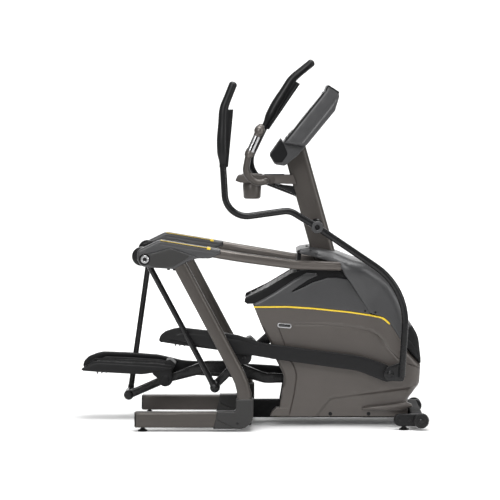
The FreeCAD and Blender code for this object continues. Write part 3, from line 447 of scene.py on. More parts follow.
class Shape:
    """A mesh in mm, put together from simple shapes and then turned into a piece.

    With a side, distances y are measured from the middle plane out to that side, and the names of the piece, its
    CAD node and its body start with the side's name. A loop may change the side of a shape that has none.
    """

    def __init__(self, side=None):
        self.bm = bmesh.new()
        self.side = side or LEFT
        self.prefix = f"{NAMES[side]}_" if side else ""

    def at(self, x, y, z):
        """A new vertex."""
        return self.bm.verts.new((x, self.side * y, z))

    def plate(self, corners, low, high, rim, spacing, features=(), back="same"):
        """A moulded plate: its side view outline, with a rounded and patterned face at y = high.

        back is "same" for another such face at y = low and "flat" for a plain one. For an open shell it's a test
        of places on the edge: where it holds the wall reaches down to low, and elsewhere it stays short.
        """
        points, height, triangles, loop = face_mesh(rounded(corners), rim, features, spacing)
        top = [self.at(x, high + h, z) for (x, z), h in zip(points, height)]
        for triangle in triangles:
            self.bm.faces.new([top[index] for index in triangle])
        if callable(back):
            bottom = []
            for index in loop:
                depth = low if back(points[index]) else high - SHORT_WALL
                bottom.append(self.at(points[index][0], min(depth, high + height[index] - 0.2), points[index][1]))
        else:
            under = [self.at(x, low - (h if back == "same" else 0), z) for (x, z), h in zip(points, height)]
            for triangle in triangles:
                self.bm.faces.new([under[index] for index in reversed(triangle)])
            bottom = [under[index] for index in loop]
        self.skin([[top[index] for index in loop], bottom], capped=False)
        return self

    def plates(self, corners, spans, *details):
        """The same plate over several (low, high) spans."""
        for low, high in spans:
            self.plate(corners, low, high, *details)
        return self

    def skin(self, loops, capped=True):
        """Faces between loops of vertexes, one after the other; a loop of one vertex is a tip."""
        for first, second in zip(loops, loops[1:]):
            for n in range(max(len(first), len(second))):
                corners = (first[n % len(first)], first[(n + 1) % len(first)],
                           second[(n + 1) % len(second)], second[n % len(second)])
                corners = list(dict.fromkeys(corners))
                if len(corners) > 2:
                    self.bm.faces.new(corners)
        if capped:
            self.bm.faces.new(loops[0][::-1])
            self.bm.faces.new(loops[-1])

    def spun(self, profile, sides, place):
        """A profile of (radius, distance along the axis), turned about an axis set by the function place."""
        loops = []
        for radius, along in profile:
            turns = [2 * math.pi * n / sides for n in range(sides if radius > 0 else 1)]
            loops.append([self.at(*place(radius * math.cos(a), radius * math.sin(a), along)) for a in turns])
        self.skin(loops, capped=False)
        return self

    def turned(self, profile, centre=(0, 0), soft=0.0, sides=48):
        """A turned shape across the machine, about (x, z), with small arcs of the radius soft at its corners."""
        profile = rounded(profile, soft, closed=False, turn_step=22)
        return self.spun(profile, sides, lambda a, b, along: (centre[0] + a, along, centre[1] + b))

    def upright(self, profile, centre, sides, way=1):
        """A turned shape with a vertical axis, from (x, y, z) upwards or, with way = -1, downwards."""
        x, y, z = centre
        return self.spun(profile, sides, lambda a, b, along: (x + a, y + self.side * b, z + way * along))

    def bolt(self, centre, base, radius, height):
        """A domed bolt head across the machine, with a sunk drive in its middle."""
        inner = radius * 0.45
        profile = [(0, height * 0.35), (inner, height * 0.35), (inner, height * 0.98)]
        for angle in map(math.radians, (58, 40, 20, 0)):
            profile.append((radius * math.cos(angle), height * (0.45 + 0.55 * math.sin(angle))))
        profile = [(across, base + along) for across, along in profile + [(radius, 0), (0, 0)]]
        return self.turned(profile, centre, 0, 28)

    def swept(self, spine, section, scale=1.0, up=(0, 0, 1), domes=(0.0, 0.0)):
        """A section carried along a line. scale is a number, or a function of the share of the length.

        domes says how far each end bulges beyond the line; 0 is a flat end.
        """
        spine = [Vector(point) for point in spine]
        lengths = [0.0]
        for a, b in zip(spine, spine[1:]):
            lengths.append(lengths[-1] + (b - a).length)
        rings = []
        across = None
        for index, point in enumerate(spine):
            ahead = (spine[min(index + 1, len(spine) - 1)] - spine[max(index - 1, 0)]).normalized()
            across = across or ahead.cross(Vector(up)).normalized()
            across = (across - ahead * across.dot(ahead)).normalized()
            size = scale(lengths[index] / lengths[-1]) if callable(scale) else scale
            rings.append((point, ahead, across, size))
        for end, way in ((0, -1), (-1, 1)):
            if domes[end]:
                point, ahead, across, size = rings[end]
                turns = [math.radians(84) * n / DOME_STEPS for n in range(1, DOME_STEPS + 1)]
                dome = [(point + ahead * way * domes[end] * math.sin(a), ahead, across, size * math.cos(a))
                        for a in turns]
                rings = rings + dome if way > 0 else dome[::-1] + rings
        loops = []
        for point, ahead, across, size in rings:
            upward = across.cross(ahead)
            loops.append([self.bm.verts.new(point + (across * a + upward * b) * size) for a, b in section])
        self.skin(loops)
        return self

    def piece(self, name, node=None, slot=None, body=None, turn=None, finish=None):
        """Finish the mesh: turn it into place, paint it, and let it ride on its body.

        node is the CAD node that it stands for, whose body and slot it takes unless others are named. Without
        either, its body is the frame. finish is a material other than the slot's own.
        """
        name, bm = self.prefix + name, self.bm
        node = node and self.prefix + node
        bmesh.ops.remove_doubles(bm, verts=bm.verts, dist=DOUBLE)
        bmesh.ops.recalc_face_normals(bm, faces=bm.faces)
        if turn is not None:
            bm.transform(turn)
        bm.transform(Matrix.Scale(MM, 4))
        mesh = smooth_mesh(name, bm)
        mesh.set_sharp_from_angle(angle=SHARP_ANGLE)
        piece = new_object(name, mesh)
        slot = slot or SLOT_OF[node]
        mesh.materials.append(MATERIALS[finish or slot])
        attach(piece, self.prefix + body if body else BODY_OF.get(node, "frame"))
        if node:
            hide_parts(node)
        return piece


def shell(side, name, corners, high, rim, spacing, walled=(), reach=0.0, features=(), **details):
    """A thin open moulding as a piece, with full walls along the corners walled; without a side it spans both."""
    shape = Shape(side).plate(corners, 0, high, rim, spacing, features,
                              lambda place: bool(walled) and near_line(place, walled, reach)[0])
    made = shape.piece(name, **details)
    if side is None:
        flip = made.modifiers.new("other_side", "MIRROR")
        flip.use_axis = (False, True, False)
        flip.merge_threshold = 0.0002
    skin = made.modifiers.new("wall", "SOLIDIFY")
    skin.thickness = SHELL_WALL * MM
    skin.offset = -1
    skin.use_even_offset = False


def softened(node, name, width, segments, reshape=None):
    """The shape of a CAD node with its sharp edges rounded, as a piece that stands for it.

    reshape gives each point in mm its new place.
    """
    shape = Shape()
    bm = shape.bm
    bm.from_mesh(frame["nodes"][node].data)
    bm.transform(Matrix.Scale(1 / MM, 4))
    bmesh.ops.remove_doubles(bm, verts=bm.verts, dist=DOUBLE)
    for vertex in bm.verts if reshape else ():
        vertex.co = reshape(vertex.co)
    bmesh.ops.dissolve_limit(bm, angle_limit=math.radians(1), verts=bm.verts, edges=bm.edges)
    sharp = [edge for edge in bm.edges if edge.is_manifold and edge.calc_face_angle(0) > math.radians(32)]
    bmesh.ops.bevel(bm, geom=sharp, offset=width, segments=segments, affect="EDGES", profile=0.5,
                    clamp_overlap=True)
    shape.piece(name, node)


def placed(pivot, degrees):
    """Where a part modelled about its pivot goes: turned in the side view, then moved to the pivot."""
    turn = Matrix.Rotation(math.radians(degrees), 4, Vector((0, -1, 0)))
    return Matrix.Translation((pivot[0], 0, pivot[2])) @ turn


def both(build):
    """Build a part on the right-hand and then on the left-hand side."""
    for side in NAMES:
        build(side)


# ---------------------------------------------------------------- welded frame


FRAME_HALF = 335       # distance of the side frames from the middle plane
FRAME_INNER, FRAME_OUTER = 305, 365
FRAME_OUTLINE = [(-554, 19, 3), (0, 19, 66), (0, 210, 400), (-336.4, 846.3), (-414.9, 859.6), (-71.4, 210, 330),
                 (-71.4, 92, 12), (-554, 92, 3)]
ELBOW_OUTLINE = [(-186, 14, 3), (4, 14, 70), (4, 155, 4), (-78, 155, 4), (-78, 96, 14), (-168, 96, 3)]
COVER_OUTLINE = [(-542, 812, 30), (-524, 782, 30), (-490, 776, 60), (-366, 768, 14), (-310, 800, 40),
                 (-262, 819, 60), (-200, 818, 40), (-152, 840, 5), (-150, 860, 5), (-437, 907, 60), (-542, 855, 24)]
SIDE_PANEL = [(-493, 788, 12), (-448, 776, 30), (-373, 780, 20), (-287, 832, 8), (-385, 866, 30), (-485, 839, 12)]
ROD_TOP = (-510, 813)
RING_CENTRE = (-506, 815)
WHEEL_CENTRE = (798, 47)


def frame_rim(place):
    """Rounding of the upright: broad along its front edge, tighter elsewhere."""
    front = near_line(place, [(0, 60), (0, 210), (-336.4, 846.3)], 26) & (place[:, 1] > 120)
    return np.where(front, 25.0, 10.0)


def side_frame(side):
    """Rail and upright in one bent tube, with its end cap, elbow boot and screw."""
    tube = Shape(side).plate(FRAME_OUTLINE, FRAME_INNER, FRAME_OUTER, frame_rim, 22)
    tube.turned(disc(12, 227, FRAME_INNER + 24), ROD_TOP, sides=32).piece("frame_tube", "side_frame")
    ends = [(x, side * FRAME_HALF, 55.5) for x in (-548, -557)]
    Shape(side).swept(ends, bar_section(56, 68, 11)).piece("rail_end_cap", slot="black_plastic")
    seam = Groove([(-178, 62), (-88, 20), (-60, 8)], 2.5, 2, 20)
    boot = Shape(side).plate(ELBOW_OUTLINE, FRAME_INNER - 4, FRAME_OUTER + 4, 7, 12, [seam])
    boot.piece("elbow_boot", "elbow_cover")
    Shape(side).bolt((-72, 41), FRAME_OUTER + 3.2, 6, 2.4).piece("elbow_screw", slot="black_steel")


def rear_cover(side):
    """Moulded cover at the top of an upright, its side panel, pivot ring and bearing housing."""
    split = Groove([(-548, 822), (-485, 842), (-385, 869), (-285, 834), (-262, 828)], 2.6, 2.2, 25)
    crease = Groove([(-436, 886), (-300, 864), (-180, 846)], 4, 1.2, 60)
    cover = Shape(side).plate(COVER_OUTLINE, FRAME_INNER - 5, FRAME_OUTER + 5, 11, 14, [split, crease])
    cover.piece("cover_shell", "rear_cover")
    panel = Shape(side).plate(SIDE_PANEL, FRAME_OUTER + 2, FRAME_OUTER + 7.5, 2.5, 14, back="flat")
    panel.piece("cover_side_panel", "rear_side_panel", "elbow_plastic")
    cup = [(0, 366), (27, 366), (27, 372.5), (22, 373), (22, 370), (0, 370)]
    Shape(side).turned(cup, RING_CENTRE, 1, 56).piece("pivot_cup", slot="black_plastic")
    ring = [(9, 369), (9, 372.5), (11, 374), (16, 374), (19, 372), (19, 369), (9, 369)]
    Shape(side).turned(ring, RING_CENTRE, 0.8, 56).piece("pivot_ring", slot="chrome_plate")
    fasteners = Shape(side).bolt(RING_CENTRE, 369.5, 8, 5)
    fasteners.turned([(0, 265), (30, 265), (45, 272), (45, 296), (38, 302), (0, 302)], (-525, 824), 3)
    for x, z in ((-395, 772), (-368, 770)):
        fasteners.upright([(0, 0), (7, 0), (7, 7), (3.5, 9), (0, 9)], (x, FRAME_OUTER - 12, z), 20, -1)
    fasteners.upright(disc(6, 0, 6), (-206, FRAME_OUTER - 22, 831), 20, -1)
    fasteners.piece("cover_fasteners", slot="black_steel")


def cover_accents():
    """Bright line with a hooked end along the top of each cover, on its outer and its inner face."""
    accents = Shape()
    for accents.side in NAMES:
        line = [(-432, 903.6), (-214, 868), (-214, 869.5), (-432, 905.0)]
        accents.plates(line, ((358, 370.6), (299.4, 312)), 0.3, 60)
        hook = [(-215, 862, 3), (-198, 859, 3), (-197, 868.5, 3), (-214, 871.5, 3)]
        accents.plates(hook, ((356, 371.8), (298.5, 314)), 1.5, 20)
    accents.piece("cover_accent_lines", "rear_cover_accents")


def upper_tube(side):
    """Rounded tube along the frame and in towards the hood, and the black seal where it enters."""
    points = ((-420, 335, 883), (-60, 335, 822), (200, 268, 783), (442, 176, 769))
    route = bent([(x, side * y, z) for x, y, z in points], 420)
    Shape(side).swept(route, bar_section(40, 44, 17)).piece("upper_bar", "upper_tube")
    last = route[-1]
    ahead = (last - route[-2]).normalized()
    seal = Shape(side).swept([last - ahead * 26, last + ahead * 4], bar_section(48, 53, 20))
    seal.piece("tube_seal", slot="black_plastic")


def base_tubes():
    """Cross member, central beam and front stabilizer as rounded tubes."""
    for name, node, ends, size in (
            ("cross_tube", "rear_cross_member", [(-36, -305, 57), (-36, 305, 57)], (60, 66, 8)),
            ("spine_beam", "base_beam", [(-6, 0, 68.5), (750, 0, 68.5)], (80, 83, 8)),
            ("front_tube", "front_stabilizer", [(779, -262, 50), (779, 262, 50)], (58, 50, 8))):
        Shape().swept(ends, bar_section(*size)).piece(name, node, "black_steel", finish="matt_steel")


def stabilizer_end(side):
    """End shoe of the stabilizer and its two bolts."""
    shoe = [(669, 19, 28), (834, 19, 28), (834, 76, 28), (669, 76, 28)]
    Shape(side).plate(shoe, 262, 298, 6, 12).piece("stabilizer_shoe", "stabilizer_end", "charcoal_plastic")
    bolts = Shape(side)
    for x in (698, 745):
        bolts.turned([(0, 296), (8.5, 296), (8.5, 299.4), (5, 299.8), (4.4, 298.6), (0, 298.6)], (x, 47), 0.4, 28)
    bolts.piece("stabilizer_bolts", slot="black_steel")


def feet():
    """Levelling feet: rubber pad with a stepped cup, a jam nut and a threaded stem."""
    pad = [(0, 0), (22, 0), (23.5, 1.5), (23.5, 5), (21, 7), (15, 9), (13, 11), (13, 13), (0, 13)]
    thread = [(0, 18)]
    for turn in range(12):
        thread += [(5, 18 + 1.5 * turn), (4.4, 18.75 + 1.5 * turn)]
    thread += [(4.4, 37), (0, 37)]
    for place, x, y in (("rear", -519, 335), ("front", 717, 280)):
        for side in NAMES:
            foot = Shape(side)
            for profile, sides in ((pad, 40), (disc(9.5, 13, 18.6), 6), (thread, 24)):
                foot.upright(profile, (x, y, 0), sides)
            foot.piece(f"{place}_levelling_pad", f"{place}_foot")


def transport_wheel(side):
    """Rubber tyre on a spoked plastic hub."""
    tyre = [(25, 302), (32, 300), (36, 305), (36, 319), (32, 324), (25, 322), (25, 302)]
    hub = [(8.1, 304), (25, 304), (25, 309), (14, 309), (14, 315), (25, 315), (25, 320), (8.1, 320)]
    wheel = Shape(side).turned(tyre, WHEEL_CENTRE, 2.5, 64).turned(hub, WHEEL_CENTRE, 0.8, 64)
    for n in range(6):
        cos, sin = math.cos(math.radians(60 * n)), math.sin(math.radians(60 * n))
        ends = [(WHEEL_CENTRE[0] + 19.5 * cos, side * y, WHEEL_CENTRE[1] + 19.5 * sin) for y in (305, 319)]
        wheel.swept(ends, [(cos * a - sin * b, sin * a + cos * b) for a, b in box(4, 1.5)])
    wheel.piece("roller", "transport_wheel")


def roller_axles():
    """Axle of each transport wheel, with its pressed cap."""
    axles = Shape()
    for axles.side in NAMES:
        axles.turned([(0, 270), (8, 270), (8, 325), (12, 325), (12, 328), (7, 330), (0, 330)], WHEEL_CENTRE, 0.8, 32)
    axles.piece("roller_axles", "wheel_axles", "black_steel")


both(side_frame)
both(rear_cover)
cover_accents()
both(upper_tube)
base_tubes()
both(stabilizer_end)
feet()
both(transport_wheel)
roller_axles()


# ---------------------------------------------------------------- mast, console and fixed handlebar


MAST_OUTLINE = [(345, 600), (461, 600), (253, 1340), (250, 1340), (150, 1356), (150, 1300)]
COLLAR_OUTLINE = [(256, 842, 6), (392, 800, 6), (386, 822, 5), (250, 862, 5)]
CONSOLE_OUTLINE = [(343, 1603, 4), (356, 1633, 6), (406, 1600, 16), (410, 1577, 20), (390, 1510, 20),
                   (250, 1340, 20), (146, 1357, 4)]
VISOR_OUTLINE = [(343, 1604, 3), (356, 1634, 5), (412, 1598, 14), (404, 1588, 6), (354, 1622, 4), (347, 1600, 2)]
TRAY_OUTLINE = [(133, 1377, 3), (146, 1358, 2), (252, 1341, 4), (212, 1296, 20), (152, 1247, 20), (104, 1254, 24),
                (78, 1299, 12)]
INLAY_OUTLINE = [(130, 1372, 4), (82, 1300, 10), (105, 1262, 18), (140, 1264, 10), (167, 1304, 20), (147, 1351, 4)]
DISH_OUTLINE = [(128, 1352, 3), (142, 1355, 2), (236, 1342.2, 4), (205, 1290, 20), (144, 1247, 26), (104, 1256, 26),
                (84, 1290, 8), (104, 1300, 8)]
FACE_LOW, FACE_HIGH = np.array([146.0, 1357.0]), np.array([343.0, 1603.0])
FACE_UP = (FACE_HIGH - FACE_LOW) / np.linalg.norm(FACE_HIGH - FACE_LOW)
FACE_OUT = np.array([-FACE_UP[1], FACE_UP[0]])
HANDLE_PIVOT = (305, 961)
HANDLE_PLANE = 262


def mast_rim(place):
    """Small rounding along the mast's rear edge, a broad one along its front edge."""
    rear = 345 - 195 * (place[:, 1] - 600) / 700
    return np.where(place[:, 0] > rear + 40, 26.0, 11.0)


def mast_and_axle():
    """Leaning mast, the collar around its foot, and the cross axle with its washers."""
    Shape().plate(MAST_OUTLINE, -40, 40, mast_rim, 18).piece("mast_column_shell", "mast")
    Shape().plate(COLLAR_OUTLINE, -47, 47, 4, 16).piece("mast_foot_collar", slot="black_plastic")
    reach = HANDLE_PLANE - 23
    axle = Shape().turned(disc(18, -reach, reach), HANDLE_PIVOT, 2, 40)
    for axle.side in NAMES:
        axle.turned(disc(10, reach - 1, HANDLE_PLANE + 24), HANDLE_PIVOT, 0, 28)
        axle.turned([(18, 40), (30, 40), (30, 46), (24, 52), (18, 52)], HANDLE_PIVOT, 1.5, 40)
    axle.piece("handle_cross_axle", "handle_axle", "black_steel")


def face_slab(shape, along, out, half, radius, rim, middle=0.0):
    """A plate with rounded corners on the console's face; along and out are (low, high) up it and out from it."""
    tall, thick = (along[1] - along[0]) / 2, out[1] - out[0]
    foot = FACE_LOW + FACE_UP * sum(along) / 2 + FACE_OUT * out[0]
    loops = []
    for level, inset in ((0, 0), (thick - rim, 0), (thick - 0.3 * rim, 0.3 * rim), (thick, rim)):
        loop = []
        for across, up in rounded(box(half, tall), radius):
            spot = foot + FACE_UP * up * (tall - inset) / tall + FACE_OUT * level
            loop.append(shape.at(spot[0], middle + across * (half - inset) / half, spot[1]))
        loops.append(loop)
    shape.skin(loops)
    return shape


def console():
    """Console housing with its ridge, face bezel, glass, keypad and the accessory tray below."""
    ridge = Groove([(222, 1347), (300, 1444), (399, 1568)], 5, 2.4, 30)
    notch = Groove([(330, 1440), (342, 1452)], 3, 1.5, 2)
    Shape().plate(CONSOLE_OUTLINE, -215, 215, 12, 16, [ridge, notch]).piece("console_shell", "console_housing")
    bezel = face_slab(Shape(), (3, 312), (-3, 3.2), 213, 16, 1.6)
    bezel.plate(VISOR_OUTLINE, -213.5, 213.5, 3, 16).piece("console_bezel", slot="black_plastic")
    face_slab(Shape(), (74, 298), (3, 4.6), 196, 8, 0.8).piece("console_glass", "console_screen")
    keys = Shape()
    for row, count in ((26, 9), (48, 7)):
        for n in range(count):
            face_slab(keys, (row - 7, row + 7), (3, 5.4), 15, 5, 1.2, (n - (count - 1) / 2) * 40)
    keys.piece("console_keys", slot="charcoal_plastic")
    Shape().plates(TRAY_OUTLINE, ((-150, -139), (139, 150)), 3.5, 14).piece("tray_cheeks", slot="slate_plastic")
    Shape().plates(INLAY_OUTLINE, ((-152, -148), (148, 152)), 1.4, 14).piece("tray_inlays", slot="black_plastic")
    Shape().plate(DISH_OUTLINE, -141, 141, 3, 16).piece("console_accessory_tray", "console_tray", "black_plastic")
    ribs = Shape()
    for y in range(-120, 121, 30):
        ribs.swept([(106, y, 1301.5), (127, y, 1349)], bar_section(6, 3, 1.4), up=(1, 0, 0))
    ribs.piece("tray_mat_ribs", slot="tread_rubber")


FIXED_ROUTE = [(36, 1426), (-22, 1296), (-38, 1210), (16, 1166), (62, 1173)]
GRIP_HALF = 188


def fixed_handlebar():
    """Bent bar with end knobs, split contact plates, collars and rubber backs on its grips."""
    near, far = [[(x, y, z) for x, z in FIXED_ROUTE] for y in (-GRIP_HALF, GRIP_HALF)]
    route = bent(near + far[::-1], [90, 52, 60, 40, 40, 60, 52, 90])
    Shape().swept(route, circle(28), 15.0).piece("fixed_bar", "fixed_handlebar", "bronze_paint")
    low, high = np.array([-22.0, 1296.0]), np.array([36.0, 1426.0])
    ahead = (high - low) / np.linalg.norm(high - low)
    chrome, backs, knobs = Shape(), Shape(), Shape()
    for side in NAMES:

        def along(*distances):
            spots = [low + ahead * distance for distance in distances]
            return [(x, side * GRIP_HALF, z) for x, z in spots]

        for low_angle, high_angle in ((18, 62), (-48, -8)):
            for sign in (1, -1):
                turns = [math.radians(low_angle + (high_angle - low_angle) * n / 6) for n in range(7)]
                outside = [(sign * 19.4 * math.cos(turn), 19.4 * math.sin(turn)) for turn in turns]
                inner = [(0.86 * a, 0.86 * b) for a, b in outside[::-1]]
                chrome.swept(along(24, 28, 98, 102), outside + inner, up=(1, 0, 0))
        backs.swept(along(16, 114), circle(32), 17.2)
        knobs.swept(along(-6, 0, 12, 22, 30), circle(32), lambda share: 16.5 + 5.5 * math.sin(math.pi * share),
                    (1, 0, 0))
        ball = [130 + 22 * math.sin(math.radians(angle)) for angle in range(-60, 61, 10)]
        knobs.swept(along(*ball), circle(36), lambda share: math.sqrt(25 ** 2 - (38.1 * (share - 0.5)) ** 2),
                    (1, 0, 0), (0, 12))
        knobs.swept(along(102, 114), circle(32), 18.5, (1, 0, 0))
    chrome.piece("contact_plates", "heart_rate_sleeves")
    backs.piece("fixed_grip_backs", slot="black_plastic")
    knobs.piece("fixed_grip_knobs", slot="bronze_tube")


def arm_shape(point):
    """The arm's plain block drawn in: a thinner plate with a slanting rear end, running into the mast."""
    top, base, plate = 1197, 1140, 43
    level = min(1.0, max(0.0, (top - point.z) / (top - base)))
    x = point.x + (20 * (1 - level) if point.x < -70 else 16 if point.x > 140 else 0)
    return Vector((x, point.y, top + 4 - plate * level))


def arm_and_cup():
    """Arm with a moulded top, brace and mat, and the cup hanging in its hole."""
    softened("tray_arm", "tray_arm_casting", 4, 3, arm_shape)
    wall = [(0, 1085), (34, 1085), (39, 1088), (41.5, 1093), (45.5, 1152), (43.5, 1156), (43.8, 1199),
            (50, 1201.5), (50, 1204), (47, 1206), (42, 1205), (40.5, 1190), (37.5, 1098), (33, 1092), (0, 1091)]
    cup = Shape().upright(wall, (-5, 0, 0), 64)
    for angle in map(math.radians, (45, 135, 225, 315)):
        x, y = -5 + 38.5 * math.cos(angle), 38.5 * math.sin(angle)
        cup.swept([(x, y, 1096), (x, y, 1186)], circle(12), 2.0, (1, 0, 0))
    cup.piece("cup_shell", "cup_holder", "bronze_panel")
    brace = [(70, 1160, 3), (196, 1146, 3), (214, 1100, 3), (204, 1103, 8), (150, 1132, 30), (84, 1154, 6)]
    braces, plugs = Shape(), Shape()
    for braces.side in NAMES:
        braces.plate(brace, 20, 38, 4, 12)
    braces.piece("arm_braces", slot="black_steel")
    for plugs.side in NAMES:
        plugs.turned([(0, 58), (21, 58), (21, 64), (18, 66.4), (0, 66.4)], (88, 1178), 1, 32)
    plugs.piece("arm_plugs", slot="bronze_paint")
    mat = [(54, 1200, 1), (150, 1200, 1), (150, 1203.5, 1), (54, 1203.5, 1)]
    Shape().plate(mat, -50, 50, 1.2, 20).piece("arm_top_mat", slot="tread_rubber")


mast_and_axle()
console()
fixed_handlebar()
arm_and_cup()


# ---------------------------------------------------------------- shroud


HALF = 172             # distance of the shroud's sides from the middle plane
SEAM = [(4, 577, 0), (169, 579, 400), (291, 571, 600), (464, 553, 600), (559, 539, 400), (626, 525, 60),
        (657, 495, 120), (707, 415, 0)]
UNDER_SEAM = [(4, 570), (169, 571, 400), (291, 563, 600), (464, 545, 600), (559, 531, 400), (620, 518, 60),
              (650, 489)]
FRONT_EDGE = [(736, 371), (803, 300, 20), (797, 204, 60), (742, 130, 30), (742, 48, 4)]
REAR_EDGE = [(120, 48, 4), (146, 207, 120), (148, 246, 60), (110, 321, 90), (84, 402, 200), (50, 463, 100)]
HOOD_TOP = [(747, 514, 60), (712, 608, 200), (669, 679, 200), (616, 737, 200), (559, 780, 160), (473, 801, 120),
            (389, 835, 80), (268, 857, 20), (225, 850, 24), (203, 838, 16)]
TONGUE_UNDER = [(216, 832, 10), (290, 815, 30), (376, 789, 30), (408, 777, 14), (424, 758, 20), (437, 730, 30),
                (458, 703, 60), (560, 545, 4)]
FRONT_COVER = [(707, 415, 4), (747, 514, 50), (791, 433, 120), (803, 328, 20), (803, 300, 3), (736, 371, 4)]
REAR_PANEL = [(-38, 596), (-34, 604), (208, 745), (212, 738)]
SHOULDER = [(-2, 588), (48, 613), (108, 648), (197, 707), (256, 739), (336, 736)]
HOOD_SIDE = SEAM[:5] + [
    (563, 545, 3), (457, 706, 20), (400, 716, 30), (356, 714, 40), (286, 692, 60), (237, 667, 80), (152, 628, 4),
    (266, 706, 60), (336, 736, 8), (256, 739, 20), (197, 707, 60), (108, 648, 60), (48, 613, 30), (-2, 588, 8)]
# outline of the set-in wall of the hood's recess; its black plastic is painted shade for the shadowed recess
RECESS_SHADE_BAND = [(-41, 598, 3), (-37, 617, 6), (68, 667, 100), (182, 735, 60), (232, 752, 20), (340, 770, 10),
               (430, 760, 10), (470, 690, 10), (400, 690, 10), (230, 650, 10), (40, 590, 10), (-27, 587, 4)]
SIDE_FEATURES = [
    Groove([(200, 492), (340, 490), (470, 478), (560, 460), (600, 440), (655, 366), (700, 318)], 6, 3, 50),
    Groove([(122, 474), (150, 400), (152, 330)], 3.4, 3, 40),
    Groove([(152, 330), (190, 310), (210, 250), (196, 150), (172, 48)], 4, 3.6, 60),
    Groove([(690, 330), (745, 300), (800, 284)], 3.4, 3, 30),
    Terrace([(290, 30), (322, 74), (372, 134), (470, 148), (745, 184), (830, 200), (830, 30)], 11, 14, 30),
    Swell((470, 330), 420, 5),
]


def side_rim(place):
    """Rounding of the shroud's sides: broad at the front, soft at the rear, tight along the seam."""
    width = np.full(len(place), 4.0)
    width[near_line(place, FRONT_EDGE[:4], 14)] = 34.0
    width[near_line(place, REAR_EDGE[1:], 14)] = 16.0
    return width


def badge_outline(wide, tall, radius):
    """A slightly leaning rectangle about the badge's middle."""
    return [(151 + a, 485 + b - 3 * a / 34, radius) for a, b in box(wide, tall)]


def shroud_side(side):
    """Bronze lower shroud on one side, with its panel lines, foot recess, plugs and badge."""
    shell(side, "shroud_panel", SEAM + FRONT_EDGE + REAR_EDGE, HALF, side_rim, 15, FRONT_EDGE[1:], 8, SIDE_FEATURES,
          node="shroud_side")
    plugs = Shape(side)
    for x in (371, 554):
        plugs.turned([(0, 156), (9, 156), (9, 163.5), (8, 164.5), (0, 164.5)], (x, 61), 0, 28)
    for x, z in ((536, 556), (585, 549)):
        plugs.turned(disc(5, HALF - 3, HALF + 1.6), (x, z), 0, 20)
    plugs.piece("shroud_plugs", slot="black_plastic")
    foot = [(80, 50, 4), (178, 50, 4), (170, 92, 8), (112, 92, 8), (92, 74, 20)]
    lip = [(505, 86, 10), (548, 98, 60), (650, 109, 100), (732, 122, 10), (760, 108, 6), (763, 98, 6),
           (713, 80, 60), (630, 78, 60)]
    mouldings = Shape(side).plate(foot, 118, HALF + 2, 6, 12).plate(lip, 140, HALF + 26, 16, 11)
    mouldings.piece("shroud_foot_mouldings", slot="bronze_panel")
    ring = Shape(side).plate(badge_outline(34, 11, 11), HALF - 2, HALF + 2.6, 1.6, 8, back="flat")
    ring.piece("badge_ring", slot="chrome_plate")
    core = Shape(side).plate(badge_outline(29, 7, 7), HALF - 1, HALF + 3.4, 1.2, 8, back="flat")
    core.piece("badge_face", slot="screen_glass")


def seam_trim():
    """Bright strip along the seam on both sides."""
    trim = Shape()
    for trim.side in NAMES:
        trim.plate(SEAM[:-1] + UNDER_SEAM[::-1], HALF - 3, HALF + 3, 2.2, 24, back="flat")
    trim.piece("seam_trim", "shroud_trim_strips")


def hood_rim(place):
    """Rounding of the hood: broad along its top and front, tight along its seams."""
    width = np.full(len(place), 4.0)
    width[near_line(place, HOOD_TOP[:-1], 20)] = 46.0
    width[near_line(place, HOOD_TOP[-3:], 8)] = 16.0
    return width


def upper_side_rim(place):
    """Rounding of the hood's side panels: soft along the shoulder, tight elsewhere."""
    return np.where(near_line(place, SHOULDER, 10), 14.0, 4.0)


def hood():
    """Dark hood around the mast."""
    corners = [(707, 415, 4), (657, 495, 120), (626, 525, 60)] + TONGUE_UNDER[::-1] + HOOD_TOP[::-1]
    shell(None, "hood_crown", corners, HALF, hood_rim, 15, HOOD_TOP, 24, [Swell((470, 745), 180, 46)],
          node="shroud_hood")


def hood_side(side):
    """Side panel of the hood, and the set-in wall of the recess that its upper tube runs into, black as painted
    shade.
    """
    shell(side, "hood_side", HOOD_SIDE, HALF, upper_side_rim, 15, slot="slate_plastic")
    # set-in recess wall: real backing, but its black colour is painted shade for the shadow in the recess
    Shape(side).plate(RECESS_SHADE_BAND, 143, 161, 6, 20).piece("hood_recess_painted_shade", slot="black_plastic")


def hood_ends():
    """Bulkhead and ribbed panel at the rear of the hood, and its front cover with a vent line."""
    bulkhead = [(206, 738, 3), (224, 738, 3), (232, 836, 3), (214, 836, 3)]
    Shape().plate(bulkhead, -143, 143, 3, 30).piece("hood_bulkhead", slot="black_plastic")
    panel = Shape().plate(REAR_PANEL, -149.5, 149.5, 2, 24)
    for n in range(1, 8):
        x, z = -38 + 250 * n / 8, 603 + 141 * n / 8
        panel.swept([(x, -120, z + 1), (x, 120, z + 1)], bar_section(10, 4, 1.8), up=(0.5, 0, 1))
    panel.piece("rear_panel_ribbed", "shroud_rear_panel", "black_plastic")
    vent = Groove([(745, 420), (776, 380), (790, 330)], 4, 2, 30)
    shell(None, "front_cover_shell", FRONT_COVER, HALF - 1, 16, 12, FRONT_COVER[1:5], 10, [vent],
          node="shroud_front_cover", slot="charcoal_plastic")


both(shroud_side)
seam_trim()
hood()
both(hood_side)
hood_ends()


# ---------------------------------------------------------------- drive, seen only from below and behind


# The belt keeps its CAD mesh.
for part in ("drive_frame", "crank_shaft", "right_crank_arm", "left_crank_arm", "drive_pulley", "flywheel",
             "brake_magnet"):
    softened(part, f"{part}_finished", 1.2, 2)


# ---------------------------------------------------------------- suspension rods and support arms


LEVER_LENGTH, LEVER_BEND, SUPPORT_LENGTH, ROD_LENGTH = 198, math.radians(18.5), 865, 701
ROD_MIDDLE = 243
SIDE_POSE = {
    RIGHT: {"rod": 28.08, "support": 26.77, "link": 0.0, "handle": 0.0},
    LEFT: {"rod": -8.15, "support": 5.49, "link": 4.473, "handle": -29.122},
}


